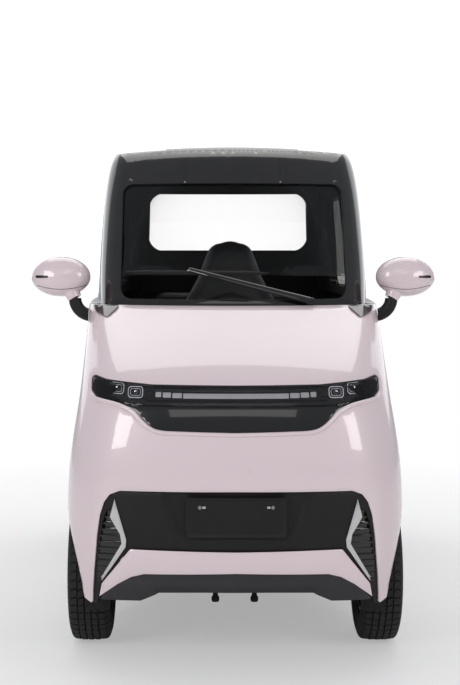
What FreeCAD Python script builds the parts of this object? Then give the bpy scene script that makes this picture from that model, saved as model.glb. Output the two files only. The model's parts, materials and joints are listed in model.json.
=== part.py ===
import FreeCAD
import Part
import math
import os

# A small electric city car for a driver in the middle and two passengers behind, in millimetres.
# The nose points along -Y, +Z is up, +X is the car's own left, and the origin lies on the ground
# under the middle of the body.

V = FreeCAD.Vector
NODES = {}
FORMS = {}

# The body's outer size, without the mirrors
LENGTH = 2360.0
HALF_WIDTH = 553.0
SKIRT_Z = 150.0
BELT_Z = 1114.0
ROOF_Z = 1700.0
NOSE_Y = -LENGTH / 2
TAIL_Y = LENGTH / 2

# Wheels
TYRE_RADIUS = 247.0
TYRE_WIDTH = 132.0
RIM_RADIUS = 152.0
RIM_WIDTH = 108.0
RIM_WALL = 8.0
HALF_TRACK = HALF_WIDTH - 79.0
FRONT_AXLE_Y = NOSE_Y + 420.0
REAR_AXLE_Y = TAIL_Y - 400.0
ARCH_RADIUS = TYRE_RADIUS + 48.0
ARCH_Z = TYRE_RADIUS + 8.0
ARCH_EDGE_RADIUS = TYRE_RADIUS + 27.0

# Walls, panels and gaps
FASCIA_WALL = 22.0
BODY_WALL = 38.0
SHEET = 6.0
PANEL_RECESS = 9.0
LAMP_RECESS = 17.0
GLASS_RECESS = 4.0
GLASS_WALL = 6.0
DOOR_GAP = 8.0
SHUT_LINE = 3.0
RUNNING_GAP = 0.05
CURVE_GAP = 0.5

# Doors, seen from the side
DOOR_FRONT_Y = FRONT_AXLE_Y + ARCH_RADIUS + 35.0
DOOR_REAR_Y = REAR_AXLE_Y - ARCH_RADIUS - 155.0
DOOR_BOTTOM_Z = SKIRT_Z + 71.0
DOOR_TOP_Z = ROOF_Z - 154.0
DOOR_LEAN = 25.0
PILLAR_LEAN = 270.0
WINDOW_FRAME = 42.0
DOOR_HINGE_X = HALF_WIDTH - 5.5
DOOR_HINGE_Y = DOOR_FRONT_Y + 12.0
DOOR_HINGE_HEIGHTS = (DOOR_BOTTOM_Z + 119.0, DOOR_BOTTOM_Z + 399.0)

# Tailgate, seen from behind
GATE_BOTTOM_Z = 600.0
GATE_TOP_Z = ROOF_Z - 100.0
GATE_HALF_WIDTH = HALF_WIDTH - 148.0
GATE_WINDOW_Z = GATE_TOP_Z - 300.0
GATE_HINGE_X = GATE_HALF_WIDTH - 155.0
GATE_HINGE_Y = TAIL_Y - 196.0
GATE_HINGE_Z = GATE_TOP_Z + 4.0

# Hinge knuckles and pins
KNUCKLE_RADIUS = 9.0
KNUCKLE_HEIGHT = 20.0
PIN_RADIUS = 4.0

# Steering
KINGPIN_X = HALF_TRACK - 40.0
KINGPIN_RADIUS = 8.0
SPINDLE_RADIUS = 12.0
STEERING_WHEEL_RADIUS = 175.0
STEERING_RIM_RADIUS = 15.0
STEERING_TILT = math.radians(28.0)
STEERING_WHEEL_Y = FRONT_AXLE_Y + 430.0
STEERING_WHEEL_Z = BELT_Z - 150.0

# Floor and chassis
RAIL_X = 225.0
RAIL_WIDTH = 50.0
RAIL_Z = 195.0
RAIL_HEIGHT = 60.0
FLOOR_Z = RAIL_Z + RAIL_HEIGHT
FOOTWELL_X = KINGPIN_X - 148.0
WHEELHOUSE_X = HALF_TRACK - TYRE_WIDTH / 2 - 17.0
WHEELHOUSE_Z = ARCH_Z + ARCH_RADIUS + 12.0
BENCH_FLOOR_Z = FLOOR_Z + 145.0

# Planforms of the body below the belt. Columns: share of the height from skirt to belt, tuck in
# from the half width, y of the widest place, side radius, distance behind the nose, radius of the
# nose bow, radius of the nose corner, distance ahead of the tail, radius of the tail corner
LOWER = [
    (0.000, 21, 0, 40000, 52, 1500, 200, 60, 150),
    (0.114, 8, 0, 40000, 20, 1500, 215, 25, 150),
    (0.260, 1, 0, 40000, 3, 1500, 220, 3, 150),
    (0.405, 0, 0, 36000, 0, 1500, 225, 0, 150),
    (0.508, 2, 20, 26000, 2, 1450, 230, 2, 150),
    (0.612, 5, 60, 17000, 15, 1400, 235, 8, 150),
    (0.705, 7, 110, 13000, 42, 1300, 240, 16, 150),
    (0.778, 8, 150, 11500, 97, 1200, 235, 23, 150),
    (0.850, 10, 180, 10500, 195, 1080, 205, 31, 150),
    (0.928, 13, 210, 9700, 320, 950, 165, 40, 150),
    (1.000, 17, 240, 9000, 445, 850, 130, 50, 150),
]
# The same columns for the glasshouse, from belt to roof. It stands on the belt, a step further in
UPPER = [
    (0.000, 29, 300, 6000, 457, 850, 130, 62, 150),
    (0.230, 33, 300, 5800, 550, 850, 130, 88, 150),
    (0.490, 45, 300, 5800, 655, 850, 130, 130, 150),
    (0.730, 61, 300, 6000, 753, 850, 125, 178, 145),
    (0.865, 78, 300, 6500, 812, 850, 120, 216, 140),
    (0.940, 98, 290, 7000, 858, 830, 110, 250, 130),
    (1.000, 140, 280, 8000, 930, 800, 100, 305, 120),
]
TAIL_BOW_RADIUS = 2400.0
# Roof crown, front to back. Columns: share of the length from nose to tail, drop below the roof top
CROWN = [(0.20, 60), (0.35, 25), (0.48, 4), (0.61, 0), (0.75, 8), (0.90, 38), (1.05, 90)]
CROWN_HALF_SPAN = 700.0
CROWN_DROP = 60.0

# Outlines on the nose, seen from the front. Columns: x, z, for a half width of 553 and a belt at
# 1114. Those that start and end on x = 0 are the left half of a closed outline
NOSE_HALF_WIDTH = 553.0
NOSE_BELT_Z = 1114.0
BAND = [(0, 736), (155, 739), (234, 742), (271, 755), (301, 780), (322, 801), (367, 820), (443, 834),
        (465, 854), (467, 905), (415, 892), (264, 881), (0, 880)]
LENS = [(0, 816), (320, 816), (367, 826), (438, 840), (459, 856), (461, 898), (415, 886), (264, 875), (0, 874)]
GRILLE = [(0, 372), (330, 375), (422, 259), (437, 185), (455, 185), (453, 230), (445, 322), (438, 408),
          (428, 475), (414, 517), (395, 543), (362, 556), (0, 559)]
LIP = [(0, 242), (232, 242), (255, 230), (297, 210), (435, 205), (370, 262), (326, 288), (286, 299), (0, 306)]
UNDERCUT = [(0, 100), (560, 100), (560, 262), (520, 235), (480, 200), (456, 188), (436, 188), (434, 214),
            (300, 232), (0, 250)]
VENT = [(390, 500), (361, 425), (354, 389), (424, 270), (433, 262), (433, 322), (427, 400), (416, 458), (404, 492)]
ACCENT = [(378, 530), (368, 495), (341, 404), (343, 381), (420, 268), (424, 276), (356, 391), (361, 420),
          (387, 462), (393, 473)]
PILLAR_FOOT = [(395, 1125), (399, 1108), (433, 1076), (474, 1091), (500, 1125)]
# Two points of the nose's skin beside the corner opening. Columns: x, distance behind the nose
VENT_LINE = ((330.0, 40.0), (450.0, 77.0))
VENT_SLATS = 12
SLAT_HEIGHT = 7.0
PLATE_BOLT_SPACING = 225.0
PLATE_BOLT_RADIUS = 3.0
PLATE_BOLT_Z = 512.0

# Mirror housing, front to back. Columns: distance behind its middle, share of the half width and height
MIRROR_SECTIONS = [(-60, 0.18), (-50, 0.55), (-30, 0.87), (0, 1.0), (30, 0.875)]
MIRROR_HALF_WIDTH = 104.0
MIRROR_HALF_HEIGHT = 70.0

# Lamp units behind the lens. Columns: centre x, centre z, width, height
HEADLAMPS = [(377, 868, 50, 34), (316, 858, 50, 34), (432, 866, 34, 34)]
BAR_SEGMENTS = [(0, 847, 322, 18), (188, 847, 38, 18), (222, 848, 26, 18), (246, 849, 20, 18)]


# Small makers

def keep(name, shape, least=50.0):
    """Drops crumbs smaller than least, in cubic millimetres, and keeps the shape as a node."""
    solids = [s for s in shape.Solids if s.Volume > least]
    NODES[name] = solids[0] if len(solids) == 1 else Part.makeCompound(solids)


def box(x0, x1, y0, y1, z0, z1):
    return Part.makeBox(x1 - x0, y1 - y0, z1 - z0, V(x0, y0, z0))


def rod(start, end, radius):
    start, end = V(*start), V(*end)
    return Part.makeCylinder(radius, (end - start).Length, start, end - start)


def mirrored(shape):
    """The shape's twin on the other side of the car."""
    return shape.mirror(V(0, 0, 0), V(1, 0, 0))


def both(shape):
    return Part.makeCompound(shape.Solids + mirrored(shape).Solids)


def with_twins(shapes):
    return list(shapes) + [mirrored(s) for s in shapes]


def fused(shapes):
    return shapes[0].fuse(list(shapes[1:])).removeSplitter()


def whole(half):
    """A closed outline from its left half, which starts and ends on x = 0."""
    return half + [(-x, z) for x, z in reversed(half) if x > 0]


def on_nose(points):
    """Outline points fitted to the body's own width and height."""
    wide, high = HALF_WIDTH / NOSE_HALF_WIDTH, BELT_Z / NOSE_BELT_Z
    return [(x * wide, z * high) for x, z in points]


def grown(points, by):
    """The corners of a polygon whose sides are moved outward."""
    pairs = list(zip(points, points[1:] + points[:1]))
    area = sum(a[0] * b[1] - b[0] * a[1] for a, b in pairs)
    turn = 1.0 if area > 0 else -1.0
    lines = []
    for a, b in pairs:
        run = math.hypot(b[0] - a[0], b[1] - a[1])
        nx, ny = turn * (b[1] - a[1]) / run, -turn * (b[0] - a[0]) / run
        lines.append((nx, ny, nx * a[0] + ny * a[1] + by))
    corners = []
    for (a1, b1, c1), (a2, b2, c2) in zip(lines[-1:] + lines[:-1], lines):
        det = a1 * b2 - a2 * b1
        corners.append(((c1 * b2 - c2 * b1) / det, (a1 * c2 - a2 * c1) / det))
    return corners


def outline(points, place, radius=0.0):
    """A closed wire through the corners, each rounded as far as its sides allow."""
    count = len(points)
    edges, last, first = [], None, None
    for i in range(count):
        before, here, after = (place(points[j % count]) for j in (i - 1, i, i + 1))
        back, ahead = before - here, after - here
        turn = math.pi - back.getAngle(ahead)
        cut = radius * math.tan(turn / 2) if radius > 0 and turn > 0.02 else 0.0
        cut = min(cut, 0.45 * back.Length, 0.45 * ahead.Length)
        back.normalize()
        ahead.normalize()
        start, end = here + back * cut, here + ahead * cut
        if last is not None and (start - last).Length > 1e-6:
            edges.append(Part.LineSegment(last, start).toShape())
        if cut > 1e-6:
            reach = cut / math.tan(turn / 2)
            middle = (back + ahead).normalize()
            top = here + middle * (math.hypot(reach, cut) - reach)
            edges.append(Part.Arc(start, top, end).toShape())
        first = start if first is None else first
        last = end
    if (first - last).Length > 1e-6:
        edges.append(Part.LineSegment(last, first).toShape())
    return Part.Wire(edges)


def front_prism(points, y0, y1, radius=0.0):
    """An outline seen from the front, (x, z), pushed through from y0 to y1."""
    wire = outline(points, lambda p: V(p[0], y0, p[1]), radius)
    return Part.Face(wire).extrude(V(0, y1 - y0, 0))


def nose_prism(points, radius=0.0):
    """A nose outline pushed through the whole front of the body."""
    return front_prism(on_nose(points), NOSE_Y - 50.0, FRONT_AXLE_Y + 60.0, radius)


def side_prism(points, x0, x1, radius=0.0):
    """An outline seen from the side, (y, z), pushed through from x0 to x1."""
    wire = outline(points, lambda p: V(x0, p[0], p[1]), radius)
    return Part.Face(wire).extrude(V(x1 - x0, 0, 0))


def flank_prism(points, radius=0.0):
    """A side outline pushed through the car's left flank."""
    return side_prism(points, HALF_WIDTH / 2, HALF_WIDTH + 100.0, radius)


def top_prism(points, z0, z1, radius=0.0):
    """An outline seen from above, (x, y), pushed up from z0 to z1."""
    wire = outline(points, lambda p: V(p[0], p[1], z0), radius)
    return Part.Face(wire).extrude(V(0, 0, z1 - z0))


def turned(points, centre, radius=0.0):
    """A profile, (x, distance from the axle), turned about the axle line."""
    wire = outline(points, lambda p: V(p[0], centre.y, centre.z + p[1]), radius)
    return Part.Face(wire).revolve(centre, V(1, 0, 0), 360)


# Body forms

def meeting(c1, r1, c2, r2, pick):
    """Where two circles meet, on the side that pick prefers."""
    dx, dy = c2[0] - c1[0], c2[1] - c1[1]
    apart = math.hypot(dx, dy)
    along = (r1 * r1 - r2 * r2 + apart * apart) / (2 * apart)
    off = math.sqrt(r1 * r1 - along * along)
    mx, my = c1[0] + along * dx / apart, c1[1] + along * dy / apart
    found = [(mx + s * off * dy / apart, my - s * off * dx / apart) for s in (1, -1)]
    return max(found, key=pick)


def towards(centre, radius, point):
    run = math.hypot(point[0] - centre[0], point[1] - centre[1])
    return tuple(c + radius * (p - c) / run for c, p in zip(centre, point))


def planform(z, row, inset):
    """One plan outline of the body: bows at nose and tail, bowed sides and four corner arcs."""
    tuck, widest, side_r, back, bow_r, corner_r, fore, rear_r = row
    w, nose, tail = HALF_WIDTH - tuck - inset, NOSE_Y + back + inset, TAIL_Y - fore - inset
    side_r, bow_r, tail_r = side_r - inset, bow_r - inset, TAIL_BOW_RADIUS - inset
    corner_r, rear_r = max(corner_r - inset, 25.0), max(rear_r - inset, 25.0)
    bow, side, stern = (0.0, nose + bow_r), (w - side_r, widest), (0.0, tail - tail_r)
    front = meeting(bow, bow_r - corner_r, side, side_r - corner_r, lambda p: -p[1])
    rear = meeting(stern, tail_r - rear_r, side, side_r - rear_r, lambda p: p[1])
    p1, p2 = towards(bow, bow_r, front), towards(side, side_r, front)
    p3, p4 = towards(side, side_r, rear), towards(stern, tail_r, rear)

    def mid(centre, radius, a, b):
        return towards(centre, radius, ((a[0] + b[0]) / 2, (a[1] + b[1]) / 2))

    left = [p1, mid(front, corner_r, p1, p2), p2, mid(side, side_r, p2, p3), p3, mid(rear, rear_r, p3, p4), p4]
    right = [(-x, y) for x, y in reversed(left)]
    ring = [right[-1], (0.0, nose)] + left + [(0.0, tail)] + right
    ring = [V(x, y, z) for x, y in ring]
    return Part.Wire([Part.Arc(*ring[i:i + 3]).toShape() for i in range(0, len(ring) - 1, 2)])


def lower_form(inset=0.0, reach=0.0):
    """The body's solid form below the belt. reach runs it straight on, below and above."""
    key = ("lower", inset, reach)
    if key not in FORMS:
        height = BELT_Z - SKIRT_Z
        wires = [planform(SKIRT_Z + share * height, row, inset) for share, *row in LOWER]
        if reach:
            wires.insert(0, planform(SKIRT_Z - reach, LOWER[0][1:], inset))
            wires.append(planform(BELT_Z + reach, LOWER[-1][1:], inset))
        FORMS[key] = Part.makeLoft(wires, True, False)
    return FORMS[key]


def crown(inset=0.0):
    """Everything below the roof's arched top face."""
    wires = []
    for share, drop in CROWN:
        y, top = NOSE_Y + share * LENGTH, ROOF_Z - drop - inset
        low, side = BELT_Z - 200.0, top - CROWN_DROP
        a, b = V(-CROWN_HALF_SPAN, y, low), V(CROWN_HALF_SPAN, y, low)
        c, d = V(CROWN_HALF_SPAN, y, side), V(-CROWN_HALF_SPAN, y, side)
        arch = Part.Arc(c, V(0, y, top), d).toShape()
        sides = [Part.LineSegment(p, q).toShape() for p, q in ((a, b), (b, c), (d, a))]
        wires.append(Part.Wire([sides[0], sides[1], arch, sides[2]]))
    return Part.makeLoft(wires, True, False)


def glasshouse(inset=0.0, reach=0.0):
    """The glasshouse's form before the roof crown is taken off."""
    height = ROOF_Z - BELT_Z
    wires = [planform(BELT_Z + share * height, row, inset) for share, *row in UPPER]
    if reach:
        wires.insert(0, planform(BELT_Z - reach, UPPER[0][1:], inset))
    return Part.makeLoft(wires, True, False)


def upper_form(inset=0.0, reach=0.0):
    """The glasshouse's solid form, under the roof crown."""
    key = ("upper", inset, reach)
    if key not in FORMS:
        FORMS[key] = glasshouse(inset, reach).common(crown(inset))
    return FORMS[key]


def layer(form, outer, inner, zone=None):
    """The material between two insets of a form, whole or inside a zone."""
    shape = form(outer) if zone is None else form(outer).common(zone)
    return shape.cut(form(inner, 30.0))


# Openings that panels share

def door_side(grow=0.0):
    """The door's outline from the side, sill to roof rail."""
    top_front = DOOR_FRONT_Y - DOOR_LEAN + PILLAR_LEAN
    points = [
        (DOOR_FRONT_Y, DOOR_BOTTOM_Z),
        (DOOR_FRONT_Y - DOOR_LEAN, BELT_Z),
        (top_front, DOOR_TOP_Z),
        (DOOR_REAR_Y, DOOR_TOP_Z),
        (DOOR_REAR_Y, DOOR_BOTTOM_Z),
    ]
    return grown(points, grow)


def door_window():
    slope = PILLAR_LEAN / (DOOR_TOP_Z - BELT_Z)
    front, rear = DOOR_FRONT_Y - DOOR_LEAN + 62.0, DOOR_REAR_Y - WINDOW_FRAME
    low, high = BELT_Z + 22.0, DOOR_TOP_Z - WINDOW_FRAME + 4.0
    return [(front, low), (front + slope * (high - low), high), (rear, high), (rear, low)]


def quarter_window():
    front, low, high = DOOR_REAR_Y + 65.0, BELT_Z + 36.0, DOOR_TOP_Z - 20.0
    return [(front, low), (TAIL_Y - 300.0, low), (TAIL_Y - 350.0, high), (front, high)]


def gate_face(grow=0.0):
    """The tailgate's outline from behind."""
    w = GATE_HALF_WIDTH
    return grown([(-w, GATE_BOTTOM_Z), (w, GATE_BOTTOM_Z), (w, GATE_TOP_Z), (-w, GATE_TOP_Z)], grow)


def gate_window():
    w, high = GATE_HALF_WIDTH - 36.0, GATE_TOP_Z - 36.0
    return [(-w, GATE_WINDOW_Z), (w, GATE_WINDOW_Z), (w - 10.0, high), (10.0 - w, high)]


def screen_face():
    w, low, high = HALF_WIDTH - 151.0, BELT_Z + 18.0, DOOR_TOP_Z - 1.0
    return [(-w + 8.0, low), (w - 8.0, low), (w, high), (-w, high)]


def tail_prism(points, radius=0.0):
    """An outline seen from behind, pushed through the whole tail."""
    return front_prism(points, REAR_AXLE_Y - 80.0, TAIL_Y + 100.0, radius)


def screen_prism(points, radius=0.0):
    """An outline on the windscreen, pushed through it from the front."""
    return front_prism(points, NOSE_Y + 250.0, NOSE_Y + 950.0, radius)


def arch(y):
    """Both wheel arch openings of an axle."""
    return with_twins([rod((WHEELHOUSE_X, y, ARCH_Z), (HALF_WIDTH + 50.0, y, ARCH_Z), ARCH_EDGE_RADIUS)])


def door_openings():
    return with_twins([flank_prism(door_side(DOOR_GAP), 60.0)])


def roof_plan():
    """The raised roof panel, from above."""
    w = HALF_WIDTH - 308.0
    return [(-w, NOSE_Y + 780.0), (w, NOSE_Y + 780.0), (w, TAIL_Y - 275.0), (-w, TAIL_Y - 275.0)]


# Nose

def front_fascia():
    """Nose, bonnet and front wings in one skin, open for everything set into it."""
    rear = DOOR_FRONT_Y - DOOR_GAP
    edge = [(NOSE_Y - 100.0, 0.0), (rear, 0.0), (rear, DOOR_BOTTOM_Z), (rear - DOOR_LEAN, BELT_Z),
            (rear - DOOR_LEAN, BELT_Z + 50.0), (NOSE_Y - 100.0, BELT_Z + 50.0)]
    zone = side_prism(edge, -HALF_WIDTH - 100.0, HALF_WIDTH + 100.0)
    cuts = arch(FRONT_AXLE_Y)
    cuts += [nose_prism(whole(BAND), 14.0), nose_prism(whole(GRILLE), 14.0), nose_prism(whole(LIP), 6.0)]
    cuts += [nose_prism(whole(UNDERCUT))] + with_twins([foot_prism()])
    keep("front_fascia", layer(lower_form, 0.0, FASCIA_WALL, zone).cut(cuts), 20000.0)


def light_band():
    """Black band across the nose: a gloss strip below, a lamp trough above, behind a clear lens."""
    band, lens = nose_prism(whole(BAND), 14.0), nose_prism(whole(LENS), 8.0)
    strip = layer(lower_form, PANEL_RECESS - 4.0, FASCIA_WALL, band)
    trough = lens.cut(lower_form(LAMP_RECESS, 30.0))
    keep("light_band", strip.cut(trough))
    keep("lamp_lens", layer(lower_form, 2.0, 5.0, lens))


def lamp_units():
    """Headlamp units with a dished face, and the segments of the centre bar."""
    bodies = nose_blocks(HEADLAMPS, 0.0, 9.0).common(nose_prism(whole(LENS), 8.0))
    dishes = nose_blocks(HEADLAMPS, 5.0, 6.0).cut(lower_form(13.0, 30.0))
    units = both(layer(lower_form, 8.0, LAMP_RECESS, bodies).cut(dishes))
    middle, *rest = BAR_SEGMENTS
    bar = nose_blocks(BAR_SEGMENTS + [(-x, z, wide, high) for x, z, wide, high in rest], 0.0, 0.0)
    keep("lamp_units", Part.makeCompound(units.Solids + layer(lower_form, 11.0, LAMP_RECESS, bar).Solids))


def nose_blocks(table, margin, radius):
    """Blocks through the nose from a table of centre x, centre z, width and height."""
    blocks = []
    for x, z, wide, high in table:
        w, h = wide / 2 - margin, high / 2 - margin
        blocks.append(nose_prism([(x - w, z - h), (x + w, z - h), (x + w, z + h), (x - w, z + h)], radius))
    return Part.makeCompound(blocks)


def grille():
    """The dark bumper panel with an opening in each corner, louvres behind and a bright edge piece."""
    opening, accent = nose_prism(VENT, 6.0), nose_prism(ACCENT)
    panel = layer(lower_form, PANEL_RECESS, FASCIA_WALL, nose_prism(whole(GRILLE), 14.0))
    keep("grille_panel", panel.cut(with_twins([opening, accent])))
    keep("corner_accents", both(layer(lower_form, 3.0, FASCIA_WALL, accent)))
    keep("corner_vents", both(fused([opening.common(b) for b in louvre_boards()]).cut(accent)))


def louvre_boards():
    """Flat boards across a corner opening, on a backing plate, set square to the nose's corner."""
    (x0, y0), (x1, y1) = VENT_LINE

    def board(front, back, z0, z1):
        return top_prism([(x0, NOSE_Y + y0 + front), (x1, NOSE_Y + y1 + front), (x1, NOSE_Y + y1 + back),
                          (x0, NOSE_Y + y0 + back)], z0, z1)

    low, high = on_nose(VENT)[0][1], on_nose(VENT)[0][1]
    for x, z in on_nose(VENT):
        low, high = min(low, z), max(high, z)
    pitch = (high - low) / VENT_SLATS
    boards = [board(18.0, 22.0, low - 10.0, high + 10.0)]
    for i in range(VENT_SLATS):
        z = low + (i + 0.3) * pitch
        boards.append(board(11.0, 19.0, z, z + SLAT_HEIGHT))
    return boards


def lower_lip():
    keep("front_lip", layer(lower_form, 0.0, FASCIA_WALL, nose_prism(whole(LIP), 6.0)))


def pillar_feet():
    """Dark feet that carry the windscreen pillars on down into the wings."""
    foot = layer(lower_form, 0.0, FASCIA_WALL, foot_prism())
    keep("upper_frame", fused([NODES["upper_frame"]] + foot.Solids + mirrored(foot).Solids))


def foot_prism():
    return front_prism(on_nose(PILLAR_FOOT), NOSE_Y, DOOR_FRONT_Y - DOOR_LEAN - DOOR_GAP - 4.0)


def plate_bracket():
    """Bare number plate bracket with two bolt holes."""
    w, low, high = 155.0, 418.0, 540.0
    shape = front_prism([(-w, low), (w, low), (w, high), (-w, high)], NOSE_Y, NOSE_Y + 40.0, 8.0)
    holes = [rod((x, NOSE_Y - 10.0, PLATE_BOLT_Z), (x, NOSE_Y + 60.0, PLATE_BOLT_Z), PLATE_BOLT_RADIUS)
             for x in (-PLATE_BOLT_SPACING / 2, PLATE_BOLT_SPACING / 2)]
    keep("plate_bracket", shape.cut(lower_form(PANEL_RECESS)).cut(holes))
    keep("grille_panel", NODES["grille_panel"].cut(holes))


# Body and glasshouse

def rear_body():
    """The rear quarters and the panel below the tailgate."""
    front = DOOR_REAR_Y + DOOR_GAP
    zone = box(-HALF_WIDTH - 50.0, HALF_WIDTH + 50.0, front, TAIL_Y + 50.0, 0.0, BELT_Z + 50.0)
    cuts = arch(REAR_AXLE_Y) + [tail_prism(gate_face(DOOR_GAP), 60.0), bumper_zone()] + with_twins([tail_lamp()])
    keep("rear_body", layer(lower_form, 0.0, BODY_WALL, zone).cut(cuts), 20000.0)
    keep("tail_lamps", both(layer(lower_form, 2.0, BODY_WALL - 8.0, tail_lamp())))


def tail_lamp():
    x0, x1, low, high = GATE_HALF_WIDTH + 30.0, HALF_WIDTH - 28.0, GATE_BOTTOM_Z + 90.0, GATE_BOTTOM_Z + 330.0
    return tail_prism([(x0, low), (x1, low), (x1, high), (x0, high)], 30.0)


def bumper_zone():
    w, high = HALF_WIDTH - 73.0, GATE_BOTTOM_Z - 190.0
    return front_prism([(-w, SKIRT_Z - 20.0), (w, SKIRT_Z - 20.0), (w, high), (-w, high)], TAIL_Y - 120.0,
                       TAIL_Y + 50.0, 40.0)


def rear_bumper():
    """Dark rear bumper with a shallow recess across it."""
    w, low, high = 190.0, SKIRT_Z + 90.0, GATE_BOTTOM_Z - 230.0
    dish = front_prism([(-w, low), (w, low), (w - 20, high), (20 - w, high)], TAIL_Y - 60.0, TAIL_Y + 50.0, 16.0)
    shape = layer(lower_form, 0.0, BODY_WALL, bumper_zone())
    keep("rear_bumper", shape.cut(dish.cut(lower_form(12.0, 30.0))))


def sills():
    """Sill skins with the closed box section that the floor and the doors rest on."""
    y0, y1, top = DOOR_FRONT_Y - DOOR_GAP, DOOR_REAR_Y + DOOR_GAP, DOOR_BOTTOM_Z - DOOR_GAP
    skin = layer(lower_form, 0.0, BODY_WALL, box(HALF_WIDTH / 2, HALF_WIDTH + 50.0, y0, y1, 0.0, top))
    inner = box(HALF_WIDTH - 123.0, HALF_WIDTH - BODY_WALL - 16.0, y0, y1, SKIRT_Z + 20.0, FLOOR_Z)
    keep("sills", both(fused([skin, inner])))


def upper_frame():
    """Pillars and roof in one shell, cut for screen, doors, side windows, tailgate and roof panel."""
    quarter = flank_prism(quarter_window(), 50.0)
    cuts = [screen_prism(screen_face(), 40.0), quarter, mirrored(quarter), tail_prism(gate_face(DOOR_GAP), 60.0)]
    cuts.append(top_prism(roof_plan(), BELT_Z, ROOF_Z + 50.0, 60.0).cut(crown(12.0)))
    x, half = HALF_WIDTH - 380.0, SHUT_LINE / 2
    header = screen_prism([(x - half, DOOR_TOP_Z + 10.0), (x + half, DOOR_TOP_Z + 10.0), (x + half, DOOR_TOP_Z + 96.0),
                           (x - half, DOOR_TOP_Z + 96.0)]).cut(glasshouse(SHUT_LINE, 30.0))
    cuts += with_twins([header])
    keep("upper_frame", layer(upper_form, 0.0, BODY_WALL).cut(cuts + door_openings()))


def roof_panel():
    """Raised centre panel of the roof."""
    plan = top_prism(roof_plan(), BELT_Z, ROOF_Z + 50.0, 60.0)
    keep("roof_panel", glasshouse().common(plan).common(crown(-3.0)).cut(crown(12.0)))


def pane(zone):
    return layer(upper_form, GLASS_RECESS, GLASS_RECESS + GLASS_WALL, zone)


def fixed_glass():
    screen, quarter = pane(screen_prism(screen_face(), 40.0)), pane(flank_prism(quarter_window(), 50.0))
    keep("fixed_glass", Part.makeCompound(screen.Solids + both(quarter).Solids))


# Hinged panels

def knuckle_set(place, turn_to):
    """Fixed knuckle with its leaf, the moving knuckles with their pin, and the pocket round them.

    place gives a point on the pin line at a distance along it, turn_to makes a leaf between two of
    those distances.
    """
    half = KNUCKLE_HEIGHT / 2
    reach = half + 1.0 + KNUCKLE_HEIGHT
    fixed = fused([rod(place(-half), place(half), KNUCKLE_RADIUS), turn_to(-half, half, True)])
    fixed = fixed.cut(rod(place(-reach), place(reach), PIN_RADIUS + RUNNING_GAP))
    moving = [rod(place(-reach), place(reach), PIN_RADIUS)]
    for side in (-1, 1):
        low, high = sorted((side * (half + 1.0), side * reach))
        moving += [rod(place(low), place(high), KNUCKLE_RADIUS), turn_to(low, high, False)]
    pocket = rod(place(-reach - 6.0), place(reach + 6.0), KNUCKLE_RADIUS + 5.0)
    return fixed, moving, pocket


def door_hinge(z):
    x, y = DOOR_HINGE_X, DOOR_HINGE_Y

    def place(along):
        return (x, y, z + along)

    def leaf(low, high, fixed):
        y0, y1 = (y - 60.0, y) if fixed else (y, y + 24.0)
        return box(x - 9.0, x - 1.0, y0, y1, z + low, z + high)

    return knuckle_set(place, leaf)


def gate_hinge(x):
    y, z = GATE_HINGE_Y, GATE_HINGE_Z

    def place(along):
        return (x + along, y, z)

    def leaf(low, high, fixed):
        if fixed:
            return box(x + low, x + high, y - 36.0, y, z + 3.0, z + 9.0)
        return box(x + low, x + high, y - 30.0, y + 6.0, z - 30.0, z - 5.0)

    return knuckle_set(place, leaf)


def doors():
    """The left door with its window frame, glass, handle and moving knuckles, and its twin."""
    zone = flank_prism(door_side(), 55.0)
    panel = layer(lower_form, 0.0, BODY_WALL, zone)
    leaves, knuckles, pockets = [], [], []
    for z in DOOR_HINGE_HEIGHTS:
        fixed, moving, pocket = door_hinge(z)
        leaves.append(fixed)
        knuckles += moving
        pockets += [pocket, pocket.translated(V(0, -18.0, 0))]
    window = flank_prism(door_window(), 45.0)
    y, z = DOOR_REAR_Y - 120.0, BELT_Z - 130.0
    grip = flank_prism([(y - 70, z - 12), (y + 70, z - 12), (y + 70, z + 12), (y - 70, z + 12)], 10.0)
    handle = lower_form(-14.0).common(grip).cut(lower_form(6.0, 30.0))
    shapes = {
        "door_panel": fused([panel.cut(pockets), handle] + knuckles),
        "door_frame": layer(upper_form, 0.0, BODY_WALL, zone).cut(window),
        "door_glass": pane(window),
    }
    for name, shape in shapes.items():
        keep(name + "_left", shape)
        keep(name + "_right", mirrored(shape))
    return with_twins(leaves)


def tailgate():
    """Tailgate panel below and round its window, with the moving knuckles on its top edge."""
    zone, window = tail_prism(gate_face(), 55.0), tail_prism(gate_window(), 70.0)
    parts = [layer(lower_form, 0.0, BODY_WALL, zone), layer(upper_form, 0.0, BODY_WALL, zone).cut(window)]
    leaves = []
    for x in (-GATE_HINGE_X, GATE_HINGE_X):
        fixed, moving, pocket = gate_hinge(x)
        leaves.append(fixed)
        parts += moving
    keep("tailgate_panel", fused(parts))
    keep("tailgate_glass", pane(window))
    return leaves


def hinge_leaves(leaves):
    """The fixed hinge leaves, let into the skins that carry them."""
    keep("hinge_leaves", Part.makeCompound([s for leaf in leaves for s in leaf.Solids]))
    for name in ("front_fascia", "upper_frame"):
        keep(name, NODES[name].cut(NODES["hinge_leaves"]))


# Cabin

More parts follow.
